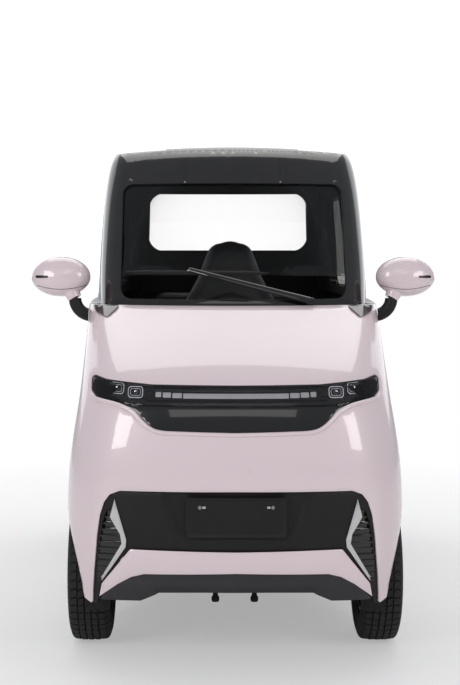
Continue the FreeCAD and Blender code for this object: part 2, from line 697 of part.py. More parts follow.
def cabin_tub():
    """Floor, footwell, bulkhead, wheelhouses and the raised floor under the rear seat."""
    wide, toe = HALF_WIDTH + 50.0, DOOR_FRONT_Y - DOOR_GAP - 8.0
    front, step, back = FRONT_AXLE_Y - 70.0, REAR_AXLE_Y - ARCH_RADIUS - 5.0, REAR_AXLE_Y + ARCH_RADIUS + 5.0
    low, shelf, bench = FLOOR_Z, WHEELHOUSE_Z, BENCH_FLOOR_Z
    floor_x = HALF_WIDTH - BODY_WALL - 19.0
    well, house, nose = FOOTWELL_X, WHEELHOUSE_X, FRONT_AXLE_Y - ARCH_RADIUS - 23.0
    parts = [
        box(-floor_x, floor_x, toe, step, low, low + SHEET),
        box(-well, well, front, toe + 1.0, low, low + SHEET),
        box(-well, well, front - SHEET, front, low, BELT_Z - 350.0),
        box(-house, house, step - SHEET, step, low, bench),
        box(-house, house, step - SHEET, back, bench - SHEET, bench),
    ]
    for turn in (1.0, -1.0):
        def panel(x0, x1, y0, y1, z0, z1):
            a, b = sorted((turn * x0, turn * x1))
            parts.append(box(a, b, y0, y1, z0, z1))
        panel(well - SHEET, well, front - SHEET, toe + SHEET, low, shelf)
        panel(well - SHEET, wide, nose, toe + SHEET, shelf - SHEET, shelf)
        panel(well - SHEET, wide, toe, toe + SHEET, low, shelf)
        panel(house - SHEET, house, step - SHEET, back, bench - SHEET, shelf)
        panel(house - SHEET, wide, step - SHEET, back, shelf - SHEET, shelf)
        panel(house - SHEET, wide, step - SHEET, step, low, shelf)
    keep("cabin_tub", fused(parts).common(lower_form(BODY_WALL + CURVE_GAP)))


def dashboard():
    """Dashboard moulding across the cabin with an instrument hood in front of the driver."""
    y, z = STEERING_WHEEL_Y - 150.0, BELT_Z
    side = [(y - 160, z - 70), (y - 290, z - 104), (y - 310, z - 310), (y - 220, z - 360), (y - 80, z - 320),
            (y, z - 215), (y + 10, z - 130), (y - 50, z - 75)]
    wide = HALF_WIDTH + 50.0
    body = side_prism(side, -wide, wide, 30.0).common(lower_form(BODY_WALL + 6.0))
    hood = [(y - 120, z - 76), (y - 100, z - 30), (y - 20, z - 36), (y - 26, z - 60), (y - 40, z - 90)]
    keep("dashboard", fused([body, side_prism(hood, -150.0, 150.0, 8.0)]))


def steering():
    """Steering wheel with its shaft, in a column that comes out of the dashboard."""
    hub = V(0, STEERING_WHEEL_Y, STEERING_WHEEL_Z)
    axis = V(0, math.cos(STEERING_TILT), math.sin(STEERING_TILT))
    reach = STEERING_WHEEL_RADIUS - 2.0
    spokes = [box(-reach, reach, hub.y - 6.0, hub.y + 6.0, hub.z - 10.0, hub.z + 10.0),
              box(-10.0, 10.0, hub.y - 6.0, hub.y + 6.0, hub.z - reach, hub.z)]
    for spoke in spokes:
        spoke.rotate(hub, V(1, 0, 0), math.degrees(STEERING_TILT))
    rim = Part.makeTorus(STEERING_WHEEL_RADIUS, STEERING_RIM_RADIUS, hub, axis)
    boss = Part.makeCylinder(58.0, 34.0, hub - axis * 24.0, axis)
    shaft = Part.makeCylinder(SPINDLE_RADIUS, 90.0, hub - axis * 100.0, axis)
    keep("steering_wheel", fused([rim, boss, shaft] + spokes))
    shroud = Part.makeCylinder(38.0, 230.0, hub - axis * 264.0, axis)
    bore = Part.makeCylinder(SPINDLE_RADIUS + RUNNING_GAP, 80.0, hub - axis * 102.0, axis)
    keep("steering_column", shroud.cut(bore).cut(NODES["dashboard"]))


def driver_seat():
    """Bucket seat with a high dished back, on a closed base in the middle of the car."""
    y, low = STEERING_WHEEL_Y + 20.0, FLOOR_Z + 175.0
    cushion = top_prism([(-215, y), (215, y), (235, y + 440), (-235, y + 440)], low, low + 120.0, 50.0)
    back = [(150, 60), (235, 120), (240, 560), (205, 690), (150, 790), (125, 860), (90, 930), (0, 950)]
    shape = front_prism(whole([(0, 60)] + back), 0.0, 110.0, 50.0)
    shape.translate(V(0, y + 400.0, low))
    shape.rotate(V(0, y + 400.0, low + 60.0), V(1, 0, 0), -10.0)
    keep("driver_seat", fused([cushion, shape]))
    return box(-170.0, 170.0, y + 30.0, y + 400.0, FLOOR_Z + SHEET, low)


def rear_seat():
    """Bench between the wheelhouses, on the raised floor."""
    y0, y1, low = DOOR_REAR_Y + 110.0, REAR_AXLE_Y + 90.0, BENCH_FLOOR_Z
    w = WHEELHOUSE_X - SHEET - 12.0
    step = REAR_AXLE_Y - ARCH_RADIUS - 5.0
    plinth = box(-w, w, step + 4.0, y1, low, low + 190.0)
    cushion = top_prism([(-w, y0), (w, y0), (w, y1), (-w, y1)], low + 190.0, low + 290.0, 40.0)
    rest = front_prism([(-w, 0), (w, 0), (w - 15, 470), (15 - w, 470)], 0.0, 90.0, 45.0)
    rest.translate(V(0, y1 - 50.0, low + 270.0))
    rest.rotate(V(0, y1 - 50.0, low + 270.0), V(1, 0, 0), -8.0)
    keep("rear_seat", fused([cushion, rest]))
    return plinth


# Chassis and running gear

def chassis_frame():
    """Two long rails, kicked up over the rear axle, with cross members, outriggers and steering rack."""
    low, high, half = RAIL_Z, RAIL_Z + RAIL_HEIGHT, RAIL_WIDTH / 2
    front, back = NOSE_Y + 180.0, REAR_AXLE_Y + ARCH_RADIUS - 5.0
    kick = REAR_AXLE_Y - 190.0
    top = BENCH_FLOOR_Z - SHEET
    rail = [(front, high), (front, low + 12), (front + 60, low), (kick + half, low), (kick + half, top - RAIL_HEIGHT),
            (back, top - RAIL_HEIGHT), (back, top), (kick - half, top), (kick - half, high)]
    parts = with_twins([side_prism(rail, RAIL_X - half, RAIL_X + half)])
    parts.append(box(-RAIL_X, RAIL_X, front, front + 40.0, low + 12.0, high))
    parts.append(box(-RAIL_X, RAIL_X, back - 40.0, back, top - RAIL_HEIGHT, top))
    for y in (DOOR_FRONT_Y + 10.0, DOOR_REAR_Y - 50.0):
        parts.append(box(-HALF_WIDTH + 123.0, HALF_WIDTH - 123.0, y, y + 40.0, low, high))
    rack_y, rack_z = FRONT_AXLE_Y + 105.0, TYRE_RADIUS - 20.0
    parts.append(rod((-RAIL_X, rack_y, rack_z), (RAIL_X, rack_y, rack_z), 20.0))
    keep("chassis_frame", fused(parts))


def battery_pack():
    inner = RAIL_X - RAIL_WIDTH / 2 - 5.0
    keep("battery_pack", box(-inner, inner, DOOR_FRONT_Y + 55.0, DOOR_REAR_Y - 55.0, RAIL_Z - 55.0, FLOOR_Z))


def wheel(name, turn, y):
    """A wheel about its axle: tyre, rim barrel and a dished disc with six holes. turn is 1 on the left."""
    x, r, half = turn * HALF_TRACK, TYRE_RADIUS, TYRE_WIDTH / 2
    centre = V(0, y, TYRE_RADIUS)
    profile = [(x - half + 12, RIM_RADIUS), (x + half - 12, RIM_RADIUS), (x + half, RIM_RADIUS + 34),
               (x + half - 3, r - 26), (x + half - 22, r), (x - half + 22, r), (x - half + 3, r - 26),
               (x - half, RIM_RADIUS + 34)]
    keep("tyre_" + name, turned(profile, centre))
    edge, inner = RIM_WIDTH / 2, RIM_RADIUS - RIM_WALL
    barrel = [(x - edge, RIM_RADIUS), (x + edge, RIM_RADIUS), (x + edge, inner), (x - edge, inner)]
    bore = SPINDLE_RADIUS + RUNNING_GAP
    disc = [(x + turn * 12, bore), (x + turn * 40, bore), (x + turn * 44, 56), (x + turn * 34, inner + 2),
            (x + turn * 22, inner + 2), (x + turn * 28, 56)]
    rim = fused([turned(barrel, centre), turned(disc, centre)])
    cuts = []
    for i in range(6):
        angle = math.pi * (2 * i + 1) / 6
        spot = (y + 100 * math.cos(angle), TYRE_RADIUS + 100 * math.sin(angle))
        cuts.append(rod((x, *spot), (x + turn * 70, *spot), 24.0))
    keep("rim_" + name, rim.cut(cuts))


def knuckles():
    """Front uprights: a post on the kingpin, a bearing flange and the spindle."""
    x, y, z = KINGPIN_X, FRONT_AXLE_Y, TYRE_RADIUS
    post = box(x - 16.0, x + 16.0, y - 20.0, y + 20.0, z - 52.0, z + 52.0)
    flange = rod((x + 10.0, y, z), (x + 22.0, y, z), 45.0)
    spindle = rod((x + 10.0, y, z), (HALF_TRACK + 38.0, y, z), SPINDLE_RADIUS)
    arm = box(x - 14.0, x - 2.0, y, y + 105.0, z - 36.0, z - 24.0)
    bore = rod((x, y, z - 60.0), (x, y, z + 60.0), KINGPIN_RADIUS + RUNNING_GAP)
    shape = fused([post, flange, spindle, arm]).cut(bore)
    keep("knuckle_left", shape)
    keep("knuckle_right", mirrored(shape))


def front_suspension():
    """Struts up to the wheelhouses with kingpin ears, each braced by its lower arm."""
    x, y, z, leg_x = KINGPIN_X, FRONT_AXLE_Y, TYRE_RADIUS, KINGPIN_X - 84.0
    top = WHEELHOUSE_Z - SHEET
    parts = [rod((leg_x, y, z - 97.0), (leg_x, y, top), 18.0), rod((leg_x, y, z + 110.0), (leg_x, y, top - 40.0), 24.0)]
    for side in (-1, 1):
        near, far = side * 56.0, side * 72.0
        parts.append(box(leg_x, x + 14.0, y - 14.0, y + 14.0, z + min(near, far), z + max(near, far)))
        parts.append(rod((x, y, z + side * 20.0), (x, y, z + side * 60.0), KINGPIN_RADIUS))
    inner, outer, low = RAIL_X + RAIL_WIDTH / 2, leg_x, RAIL_Z + 5.0
    wishbone = [(inner, y - 70), (inner, y - 44), (outer - 26, y - 10), (outer - 26, y + 10), (inner, y + 44),
                (inner, y + 70), (outer, y + 16), (outer, y - 16)]
    keep("front_suspension", both(fused(parts + [top_prism(wishbone, low, low + 22.0)])))


def rear_axle():
    """Rigid rear axle with hub flanges, the drive motor round its middle and the spring columns."""
    y, z = REAR_AXLE_Y, TYRE_RADIUS
    inner = HALF_TRACK - TYRE_WIDTH / 2 - 36.0
    parts = [rod((-inner, y, z), (inner, y, z), 34.0), rod((-110.0, y, z), (150.0, y, z), 88.0)]
    for turn in (1.0, -1.0):
        parts.append(rod((turn * (inner - 10.0), y, z), (turn * (HALF_TRACK + 38.0), y, z), SPINDLE_RADIUS))
        parts.append(rod((turn * inner, y, z), (turn * (inner + 12.0), y, z), 55.0))
    x = (RAIL_X + RAIL_WIDTH / 2 + WHEELHOUSE_X - SHEET) / 2
    parts += with_twins([rod((x, y, z + 10.0), (x, y, BENCH_FLOOR_Z - SHEET), 30.0)])
    keep("rear_axle", fused(parts))


# Small outer parts

def mirrors():
    """Egg-shaped mirror housings on necks, carried by bent arms from the wings."""
    x, y, z = HALF_WIDTH + 55.0, FRONT_AXLE_Y + 230.0, BELT_Z + 96.0
    wires = []
    for along, share in MIRROR_SECTIONS:
        ring = Part.Ellipse(V(x, y + along, z), MIRROR_HALF_WIDTH * share, MIRROR_HALF_HEIGHT * share)
        ring.Axis, ring.XAxis = V(0, 1, 0), V(1, 0, 0)
        wires.append(Part.Wire([ring.toShape()]))
    egg = Part.makeLoft(wires, True, False)
    bend_x, bend_y, bend_z, bend_r = x - 51.0, y - 14.0, z - 76.0, 60.0
    root = V(bend_x, bend_y, bend_z)
    lean = V(x - 20.0, y - 4.0, z - 20.0) - root
    neck = Part.makeCone(24.0, 34.0, lean.Length, root, lean)
    keep("mirror_housings", both(fused([egg, neck])))
    elbow = Part.makeTorus(bend_r, 22.0, V(bend_x - bend_r, bend_y, bend_z), V(0, -1, 0), 0, 360, 90)
    elbow = elbow.common(box(bend_x - bend_r, bend_x + 50.0, bend_y - 50.0, bend_y + 50.0, bend_z - 100.0, bend_z))
    stub = rod((bend_x - bend_r - 40.0, bend_y, bend_z - bend_r), (bend_x - bend_r, bend_y, bend_z - bend_r), 22.0)
    keep("mirror_arms", both(fused([stub, elbow]).cut(lower_form(0.0)).cut(neck)))


def screen_point(x, z, out):
    """A point in front of the windscreen's outer face."""
    share = (z - BELT_Z) / (ROOF_Z - BELT_Z)
    for low, high in zip(UPPER, UPPER[1:]):
        if low[0] <= share <= high[0]:
            back = low[4] + (high[4] - low[4]) * (share - low[0]) / (high[0] - low[0])
    return V(x, NOSE_Y + back + x * x / (2 * UPPER[0][5]) - out, z)


def wiper():
    """One long wiper: pivot below the screen, arm, and a blade that lies on the glass."""
    pivot = screen_point(HALF_WIDTH - 290.0, BELT_Z + 15.0, 0.0)
    elbow = screen_point(-155.0, BELT_Z + 124.0, 20.0)
    left, right = screen_point(-377.0, BELT_Z + 112.0, 7.0), screen_point(120.0, BELT_Z + 109.0, 7.0)
    middle = screen_point(-155.0, BELT_Z + 111.0, 9.0)
    boss = pivot + V(0, -26.0, 0)
    lines = [(boss, elbow, 6.5), (elbow, middle, 6.0), (left, middle, 6.0), (middle, right, 6.0)]
    shape = fused([rod(a, b, r) for a, b, r in lines] + [Part.makeSphere(r, p) for p, r in ((boss, 15.0), (middle, 8.0))])
    foot = rod(boss, pivot + V(0, 20.0, 0), 12.0).cut(upper_form(0.0)).cut(lower_form(0.0))
    keep("wiper", fused([shape, foot]).cut(upper_form(GLASS_RECESS)))


def build():
    front_fascia()
    light_band()
    lamp_units()
    grille()
    lower_lip()
    plate_bracket()
    rear_body()
    rear_bumper()
    sills()
    upper_frame()
    pillar_feet()
    roof_panel()
    fixed_glass()
    hinge_leaves(doors() + tailgate())
    cabin_tub()
    dashboard()
    steering()
    keep("seat_bases", Part.makeCompound([driver_seat(), rear_seat()]))
    chassis_frame()
    battery_pack()
    for name, turn, y in (("front_left", 1, FRONT_AXLE_Y), ("front_right", -1, FRONT_AXLE_Y),
                          ("rear_left", 1, REAR_AXLE_Y), ("rear_right", -1, REAR_AXLE_Y)):
        wheel(name, turn, y)
    knuckles()
    front_suspension()
    rear_axle()
    mirrors()
    wiper()


build()
os.makedirs("parts", exist_ok=True)
for name, shape in NODES.items():
    shape.exportStep(os.path.join("parts", name + ".step"))
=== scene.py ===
import json
import math
import bmesh
import bpy
import numpy as np
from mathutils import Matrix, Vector, geometry
from mathutils.bvhtree import BVHTree


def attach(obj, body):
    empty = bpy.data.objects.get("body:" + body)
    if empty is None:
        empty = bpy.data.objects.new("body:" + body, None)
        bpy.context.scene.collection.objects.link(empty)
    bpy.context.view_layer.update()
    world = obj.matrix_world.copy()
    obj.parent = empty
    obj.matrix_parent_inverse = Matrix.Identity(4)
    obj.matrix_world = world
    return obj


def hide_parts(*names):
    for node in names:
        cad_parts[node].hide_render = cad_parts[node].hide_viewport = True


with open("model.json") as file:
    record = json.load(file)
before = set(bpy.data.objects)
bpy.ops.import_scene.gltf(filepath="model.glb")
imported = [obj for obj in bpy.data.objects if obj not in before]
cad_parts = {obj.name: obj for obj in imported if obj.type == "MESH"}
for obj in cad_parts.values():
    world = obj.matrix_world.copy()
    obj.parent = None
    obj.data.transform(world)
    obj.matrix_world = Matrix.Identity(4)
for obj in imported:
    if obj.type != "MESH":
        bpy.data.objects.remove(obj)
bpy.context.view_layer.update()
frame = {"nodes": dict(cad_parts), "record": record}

# A small electric city car, nose towards -Y. Tables are in millimetres, meshes in metres.
nodes = frame["nodes"]
bodyOf = {name: body for body, names in frame["record"]["behaviour"]["bodies"].items() for name in names}
mm = 0.001

carSize = {"length": 2360.0, "halfWidth": 553.0, "skirt": 150.0, "belt": 1114.0, "roof": 1700.0,
           "frontAxle": -760.0, "rearAxle": 780.0, "tyreRadius": 247.0, "halfTrack": 474.0, "arch": 274.0,
           "tailBow": 2400.0, "leastRadius": 25.0}
sides = (("left", 1.0), ("right", -1.0))

# share of height, tuck, widest y, side radius, back, nose bow, nose corner, fore, tail corner
lowerRows = [
    (0.000, 21, 0, 40000, 52, 1500, 200, 60, 150), (0.114, 8, 0, 40000, 20, 1500, 215, 25, 150),
    (0.260, 1, 0, 40000, 3, 1500, 220, 3, 150), (0.405, 0, 0, 36000, 0, 1500, 225, 0, 150),
    (0.508, 2, 20, 26000, 2, 1450, 230, 2, 150), (0.612, 5, 60, 17000, 15, 1400, 235, 8, 150),
    (0.705, 7, 110, 13000, 42, 1300, 240, 16, 150), (0.778, 8, 150, 11500, 97, 1200, 235, 23, 150),
    (0.850, 10, 180, 10500, 195, 1080, 205, 31, 150), (0.928, 13, 210, 9700, 320, 950, 165, 40, 150),
    (1.000, 17, 240, 9000, 445, 850, 130, 50, 150)]
upperRows = [
    (0.000, 29, 300, 6000, 457, 850, 130, 62, 150), (0.230, 33, 300, 5800, 550, 850, 130, 88, 150),
    (0.490, 45, 300, 5800, 655, 850, 130, 130, 150), (0.730, 61, 300, 6000, 753, 850, 125, 178, 145),
    (0.865, 78, 300, 6500, 812, 850, 120, 216, 140), (0.940, 98, 290, 7000, 858, 830, 110, 250, 130),
    (1.000, 140, 280, 8000, 930, 800, 100, 305, 120)]
crownRows = [(0.20, 60), (0.35, 25), (0.48, 4), (0.61, 0), (0.75, 8), (0.90, 38), (1.05, 90)]


# Shader maths on sockets

class Sock:
    def __init__(self, tree, out):
        self.tree, self.out = tree, out

    def calc(self, operation, *others):
        node = self.tree.nodes.new("ShaderNodeMath")
        node.operation = operation
        for slot, value in zip(node.inputs, (self,) + others):
            if isinstance(value, Sock):
                self.tree.links.new(value.out, slot)
            else:
                slot.default_value = value
        return Sock(self.tree, node.outputs[0])

    def __add__(self, other):
        return self.calc("ADD", other)

    def __mul__(self, other):
        return self.calc("MULTIPLY", other)

    def __sub__(self, other):
        return self.calc("SUBTRACT", other)

    def __rsub__(self, other):
        return self.calc("MULTIPLY_ADD", -1.0, other)

    def __truediv__(self, other):
        return self.calc("DIVIDE", other)

    def __pow__(self, other):
        return self.calc("POWER", other)

    __radd__, __rmul__ = __add__, __mul__

    def clamp(self):
        return self.calc("MINIMUM", 1.0).calc("MAXIMUM", 0.0)


class Nodes:
    def __init__(self, tree):
        self.tree = tree
        tree.nodes.clear()

    def add(self, kind, settings=None, sockets=None, output=0):
        node = self.tree.nodes.new(kind if "Node" in kind else "ShaderNode" + kind)
        for key, value in (settings or {}).items():
            setattr(node, key, value)
        for key, value in (sockets or {}).items():
            if isinstance(value, Sock):
                self.tree.links.new(value.out, node.inputs[key])
            else:
                node.inputs[key].default_value = value
        return Sock(self.tree, node.outputs[output]) if node.outputs else None


class Finish(Nodes):
    def __init__(self, name):
        self.material = bpy.data.materials.new(name)
        self.material.use_nodes = True
        super().__init__(self.material.node_tree)
        self.coords = self.add("TexCoord", output="Object")

    def noise(self, scale, detail=2.0, rough=0.5, stretch=None):
        place = self.coords
        if stretch:
            place = self.add("Mapping", None, {"Vector": place, "Scale": stretch})
        return self.add("TexNoise", None, {"Vector": place, "Scale": scale, "Detail": detail, "Roughness": rough})

    def axis(self, name, vector=None):
        return self.add("SeparateXYZ", None, {"Vector": vector or self.coords}, name)

    def blend(self, factor, a, b):
        return self.add("Mix", {"data_type": "RGBA", "clamp_factor": True}, {0: factor, 6: a, 7: b}, 2)

    def bump(self, height, strength, distance, normal=None):
        sockets = {"Height": height, "Strength": strength, "Distance": distance}
        if normal:
            sockets["Normal"] = normal
        return self.add("Bump", None, sockets)

    def close(self, sockets):
        return self.end(self.add("BsdfPrincipled", None, sockets))

    def end(self, shader):
        self.add("OutputMaterial", None, {"Surface": shader})
        return self.material


def shade(red, green, blue):
    parts = [c / 255.0 for c in (red, green, blue)]
    return tuple(c / 12.92 if c <= 0.04045 else ((c + 0.055) / 1.055) ** 2.4 for c in parts) + (1.0,)


def scaled(colour, by):
    return tuple(min(1.0, c * by) for c in colour[:3]) + (1.0,)


# Finishes

mouldedColumns = ("slot", "colour", "vary", "varyScale", "rough", "roughVary", "coat", "coatRough", "dust", "grain",
                  "level", "metal")
# grain: scale, strength, distance
mouldedTable = {
    "paint": ("body", (224, 207, 212), 0.015, 1.3, 0.30, 0.06, 1.0, 0.025, 0.04, [(900.0, 0.02, 0.0002)]),
    "glossBlack": ("gloss_black", (13, 13, 15), 0.25, 3.0, 0.16, 0.05, 1.0, 0.02, 0.03, [(700.0, 0.015, 0.0002)], 0.15),
    "satinBlack": ("satin_black", (22, 21, 23), 0.18, 7.0, 0.50, 0.12, 0.0, 0.3, 0.05,
                   [(1500.0, 0.25, 0.0003), (420.0, 0.12, 0.0004)], 0.3),
    "lipGrey": ("dark_grey", (47, 45, 48), 0.12, 6.0, 0.46, 0.10, 0.0, 0.3, 0.06, [(1300.0, 0.22, 0.0003)], 0.35),
    "cabinPlastic": ("cabin_plastic", (34, 33, 35), 0.15, 5.0, 0.58, 0.12, 0.0, 0.3, 0.05,
                     [(900.0, 0.35, 0.0004), (260.0, 0.18, 0.0006)], 0.3),
    "headLining": ("upholstery", (50, 49, 51), 0.12, 60.0, 0.9, 0.05, 0.0, 0.3, 0.0, [(760.0, 0.5, 0.0006)], 0.2),
    "carpet": ("cabin_plastic", (38, 37, 39), 0.35, 240.0, 0.92, 0.05, 0.0, 0.3, 0.02, [(620.0, 0.9, 0.0016)]),
    "tubSteel": ("painted_steel", (48, 48, 50), 0.22, 9.0, 0.52, 0.18, 0.2, 0.3, 0.16, [(320.0, 0.18, 0.0005)]),
    "frameSteel": ("painted_steel", (34, 34, 36), 0.3, 14.0, 0.44, 0.2, 0.3, 0.25, 0.14, [(260.0, 0.25, 0.0005)]),
    "bareSteel": ("steel", (150, 150, 152), 0.14, 26.0, 0.34, 0.18, 0.0, 0.3, 0.04, [(420.0, 0.15, 0.0003)], 0.5, 1.0),
    "castAlloy": ("alloy", (172, 173, 176), 0.08, 18.0, 0.30, 0.12, 0.6, 0.08, 0.03, [(800.0, 0.10, 0.0003)], 0.5, 0.9),
    "brightTrim": ("bright_trim", (206, 203, 204), 0.05, 30.0, 0.22, 0.08, 0.5, 0.05, 0.02,
                   [(1200.0, 0.06, 0.0002)], 0.5, 0.85),
    "lampChrome": ("lamp", (188, 192, 198), 0.08, 60.0, 0.12, 0.08, 0.3, 0.03, 0.0, [(900.0, 0.05, 0.0002)], 0.5, 1.0),
    "lampBlack": ("lamp", (20, 20, 23), 0.2, 40.0, 0.24, 0.10, 0.4, 0.06, 0.0, [(1100.0, 0.10, 0.0002)]),
    "batterySkin": ("painted_steel", (58, 62, 66), 0.2, 11.0, 0.48, 0.16, 0.1, 0.3, 0.16, [(300.0, 0.25, 0.0005)]),
    "rubberTrim": ("satin_black", (13, 13, 14), 0.2, 12.0, 0.66, 0.1, 0.0, 0.3, 0.05, [(1000.0, 0.3, 0.0003)], 0.3),
}
dustColour, lowDirt = (176, 170, 164), (78, 74, 70)


def makeMoulded(name, s):
    # paint, plastic or metal: cloudy colour, uneven gloss, fine grain, dust on what faces up
    f = Finish(name)
    cloud = f.noise(s["varyScale"], 4.0, 0.6)
    patch = f.noise(s["varyScale"] * 5.3, 3.0, 0.55)
    base = shade(*s["colour"])
    mottled = f.blend((cloud - 0.5) * 1.6 + 0.5, scaled(base, 1.0 - s["vary"]), scaled(base, 1.0 + s["vary"]))
    facing = f.axis("Z", f.add("NewGeometry", None, None, "Normal")).clamp()
    dusty = facing * facing * patch * s["dust"]
    rough = (patch - 0.5) * (2.0 * s["roughVary"]) + dusty + s["rough"]
    normal = None
    for scale, strength, distance in s["grain"]:
        normal = f.bump(f.noise(scale), strength, distance, normal)
    return f.close({
        "Base Color": f.blend(dusty * 2.0, mottled, shade(*dustColour)), "Roughness": rough.clamp(),
        "Metallic": s.get("metal", 0.0), "Normal": normal, "Coat Weight": s["coat"],
        "Coat Roughness": s["coatRough"], "Specular IOR Level": s.get("level", 0.5)})


def makeGlass(name, s):
    # clear where it faces the eye, reflective at a slant, with a faint smear
    f = Finish(name)
    smear = f.noise(s["smearScale"], 3.0, 0.6, (1.0, 1.0, 0.35))
    solid = f.add("Fresnel", None, {"IOR": 1.5}) * s["mirror"] + s["alpha"] + (smear - 0.5) * s["smear"]
    base = shade(*s["colour"])
    return f.close({"Base Color": f.blend(smear, base, scaled(base, 1.5)), "Roughness": smear * 0.04 + 0.02,
                    "Alpha": solid.clamp(), "Coat Weight": 1.0, "Coat Roughness": 0.01, "Specular IOR Level": 0.8})


def makeGlow(name, s):
    # moulded lamp part that shows a little of its own light, with fine flutes
    f = Finish(name)
    flutes = f.axis("X").calc("MULTIPLY", s["flute"]).calc("SINE") * 0.5 + 0.5
    cloud = f.noise(60.0)
    base = shade(*s["colour"])
    colour = f.blend(flutes * 0.5 + cloud * 0.3, scaled(base, 0.72), base)
    return f.close({"Base Color": colour, "Roughness": cloud * 0.1 + s["rough"], "Coat Weight": 1.0,
                    "Coat Roughness": 0.03, "Emission Color": colour, "Emission Strength": s["glow"],
                    "Normal": f.bump(flutes, 0.4, 0.0006)})


def makeRubber(name, s):
    # tyre: dusty sidewall, fine grain, dirt close to the road
    f = Finish(name)
    cloud, speck = f.noise(9.0, 4.0, 0.6), f.noise(520.0)
    worn = f.blend(cloud * 0.55 + speck * 0.2, shade(*s["colour"]), shade(*s["dusty"]))
    low = (1.0 - f.axis("Z") / s["dirtHeight"]).clamp() * cloud
    return f.close({"Base Color": f.blend(low * 0.5, worn, shade(*lowDirt)), "Roughness": cloud * 0.16 + s["rough"],
                    "Normal": f.bump(speck, 0.35, 0.0004, f.bump(cloud, 0.1, 0.002))})


def makeLeather(name, s):
    # coated cover: pebbled grain with creases
    f = Finish(name)
    cells = f.add("TexVoronoi", {"feature": "DISTANCE_TO_EDGE"}, {"Vector": f.coords, "Scale": s["pebble"]})
    soft, fine = f.noise(14.0, 4.0, 0.6), f.noise(700.0)
    pebble = (cells * 6.0).clamp()
    colour = f.blend(pebble * 0.6 + soft * 0.4, shade(*s["colour"]), shade(*s["light"]))
    return f.close({"Base Color": colour, "Roughness": soft * 0.14 + s["rough"] - pebble * 0.06,
                    "Coat Weight": 0.12, "Coat Roughness": 0.35,
                    "Normal": f.bump(pebble, 0.35, 0.0007, f.bump(fine, 0.2, 0.0003, f.bump(soft, 0.12, 0.004)))})


glassSettings = {
    "windowGlass": {"slot": "window_glass", "colour": (20, 24, 25), "alpha": 0.012, "mirror": 0.7,
                    "smearScale": 2.5, "smear": 0.02},
    "lampGlass": {"slot": "clear_lens", "colour": (30, 30, 34), "alpha": 0.10, "mirror": 1.0,
                  "smearScale": 20.0, "smear": 0.03},
    "mirrorGlass": {"slot": "lamp", "colour": (150, 158, 162), "alpha": 1.0, "mirror": 1.0,
                    "smearScale": 20.0, "smear": 0.03},
}
glowSettings = {
    "lightBar": {"slot": "lamp", "colour": (206, 203, 210), "rough": 0.3, "glow": 0.42, "flute": 900.0},
    "haloRing": {"slot": "lamp", "colour": (222, 224, 232), "rough": 0.2, "glow": 0.55, "flute": 300.0},
    "redLens": {"slot": "red_lamp", "colour": (150, 14, 20), "rough": 0.12, "glow": 0.04, "flute": 420.0},
    "amberLens": {"slot": "lamp", "colour": (196, 96, 30), "rough": 0.15, "glow": 0.05, "flute": 420.0},
}
tyreFinish = {"tyreRubber": {"slot": "tyre", "colour": (14, 14, 15), "dusty": (30, 29, 29), "rough": 0.66,
                             "dirtHeight": 0.10}}
coverFinish = {"seatCover": {"slot": "upholstery", "colour": (30, 30, 32), "light": (46, 46, 49), "pebble": 420.0,
                             "rough": 0.46}}
finishes, slots = {}, {}
mouldedSettings = {name: dict(zip(mouldedColumns, row)) for name, row in mouldedTable.items()}
for make, table in ((makeMoulded, mouldedSettings), (makeGlass, glassSettings), (makeGlow, glowSettings),
                    (makeRubber, tyreFinish), (makeLeather, coverFinish)):
    for name, s in table.items():
        finishes[name], slots[name] = make(name, s), s["slot"]
print("finishes made:", len(finishes))


# The body's own surfaces, from the tables

def smoothColumn(xs, ys):
    # natural cubic through the rows
    n = len(xs)
    h = np.diff(xs)
    a, b = np.zeros((n, n)), np.zeros(n)
    a[0, 0] = a[-1, -1] = 1.0
    for i in range(1, n - 1):
        a[i, i - 1], a[i, i], a[i, i + 1] = h[i - 1], 2 * (h[i - 1] + h[i]), h[i]
        b[i] = 6 * ((ys[i + 1] - ys[i]) / h[i] - (ys[i] - ys[i - 1]) / h[i - 1])
    m = np.linalg.solve(a, b)

    def value(x):
        i = int(min(max(np.searchsorted(xs, x) - 1, 0), n - 2))
        t, u = x - xs[i], xs[i + 1] - x
        return ((m[i] * u ** 3 + m[i + 1] * t ** 3) / (6 * h[i]) + (ys[i] / h[i] - m[i] * h[i] / 6) * u
                + (ys[i + 1] / h[i] - m[i + 1] * h[i] / 6) * t)
    return value


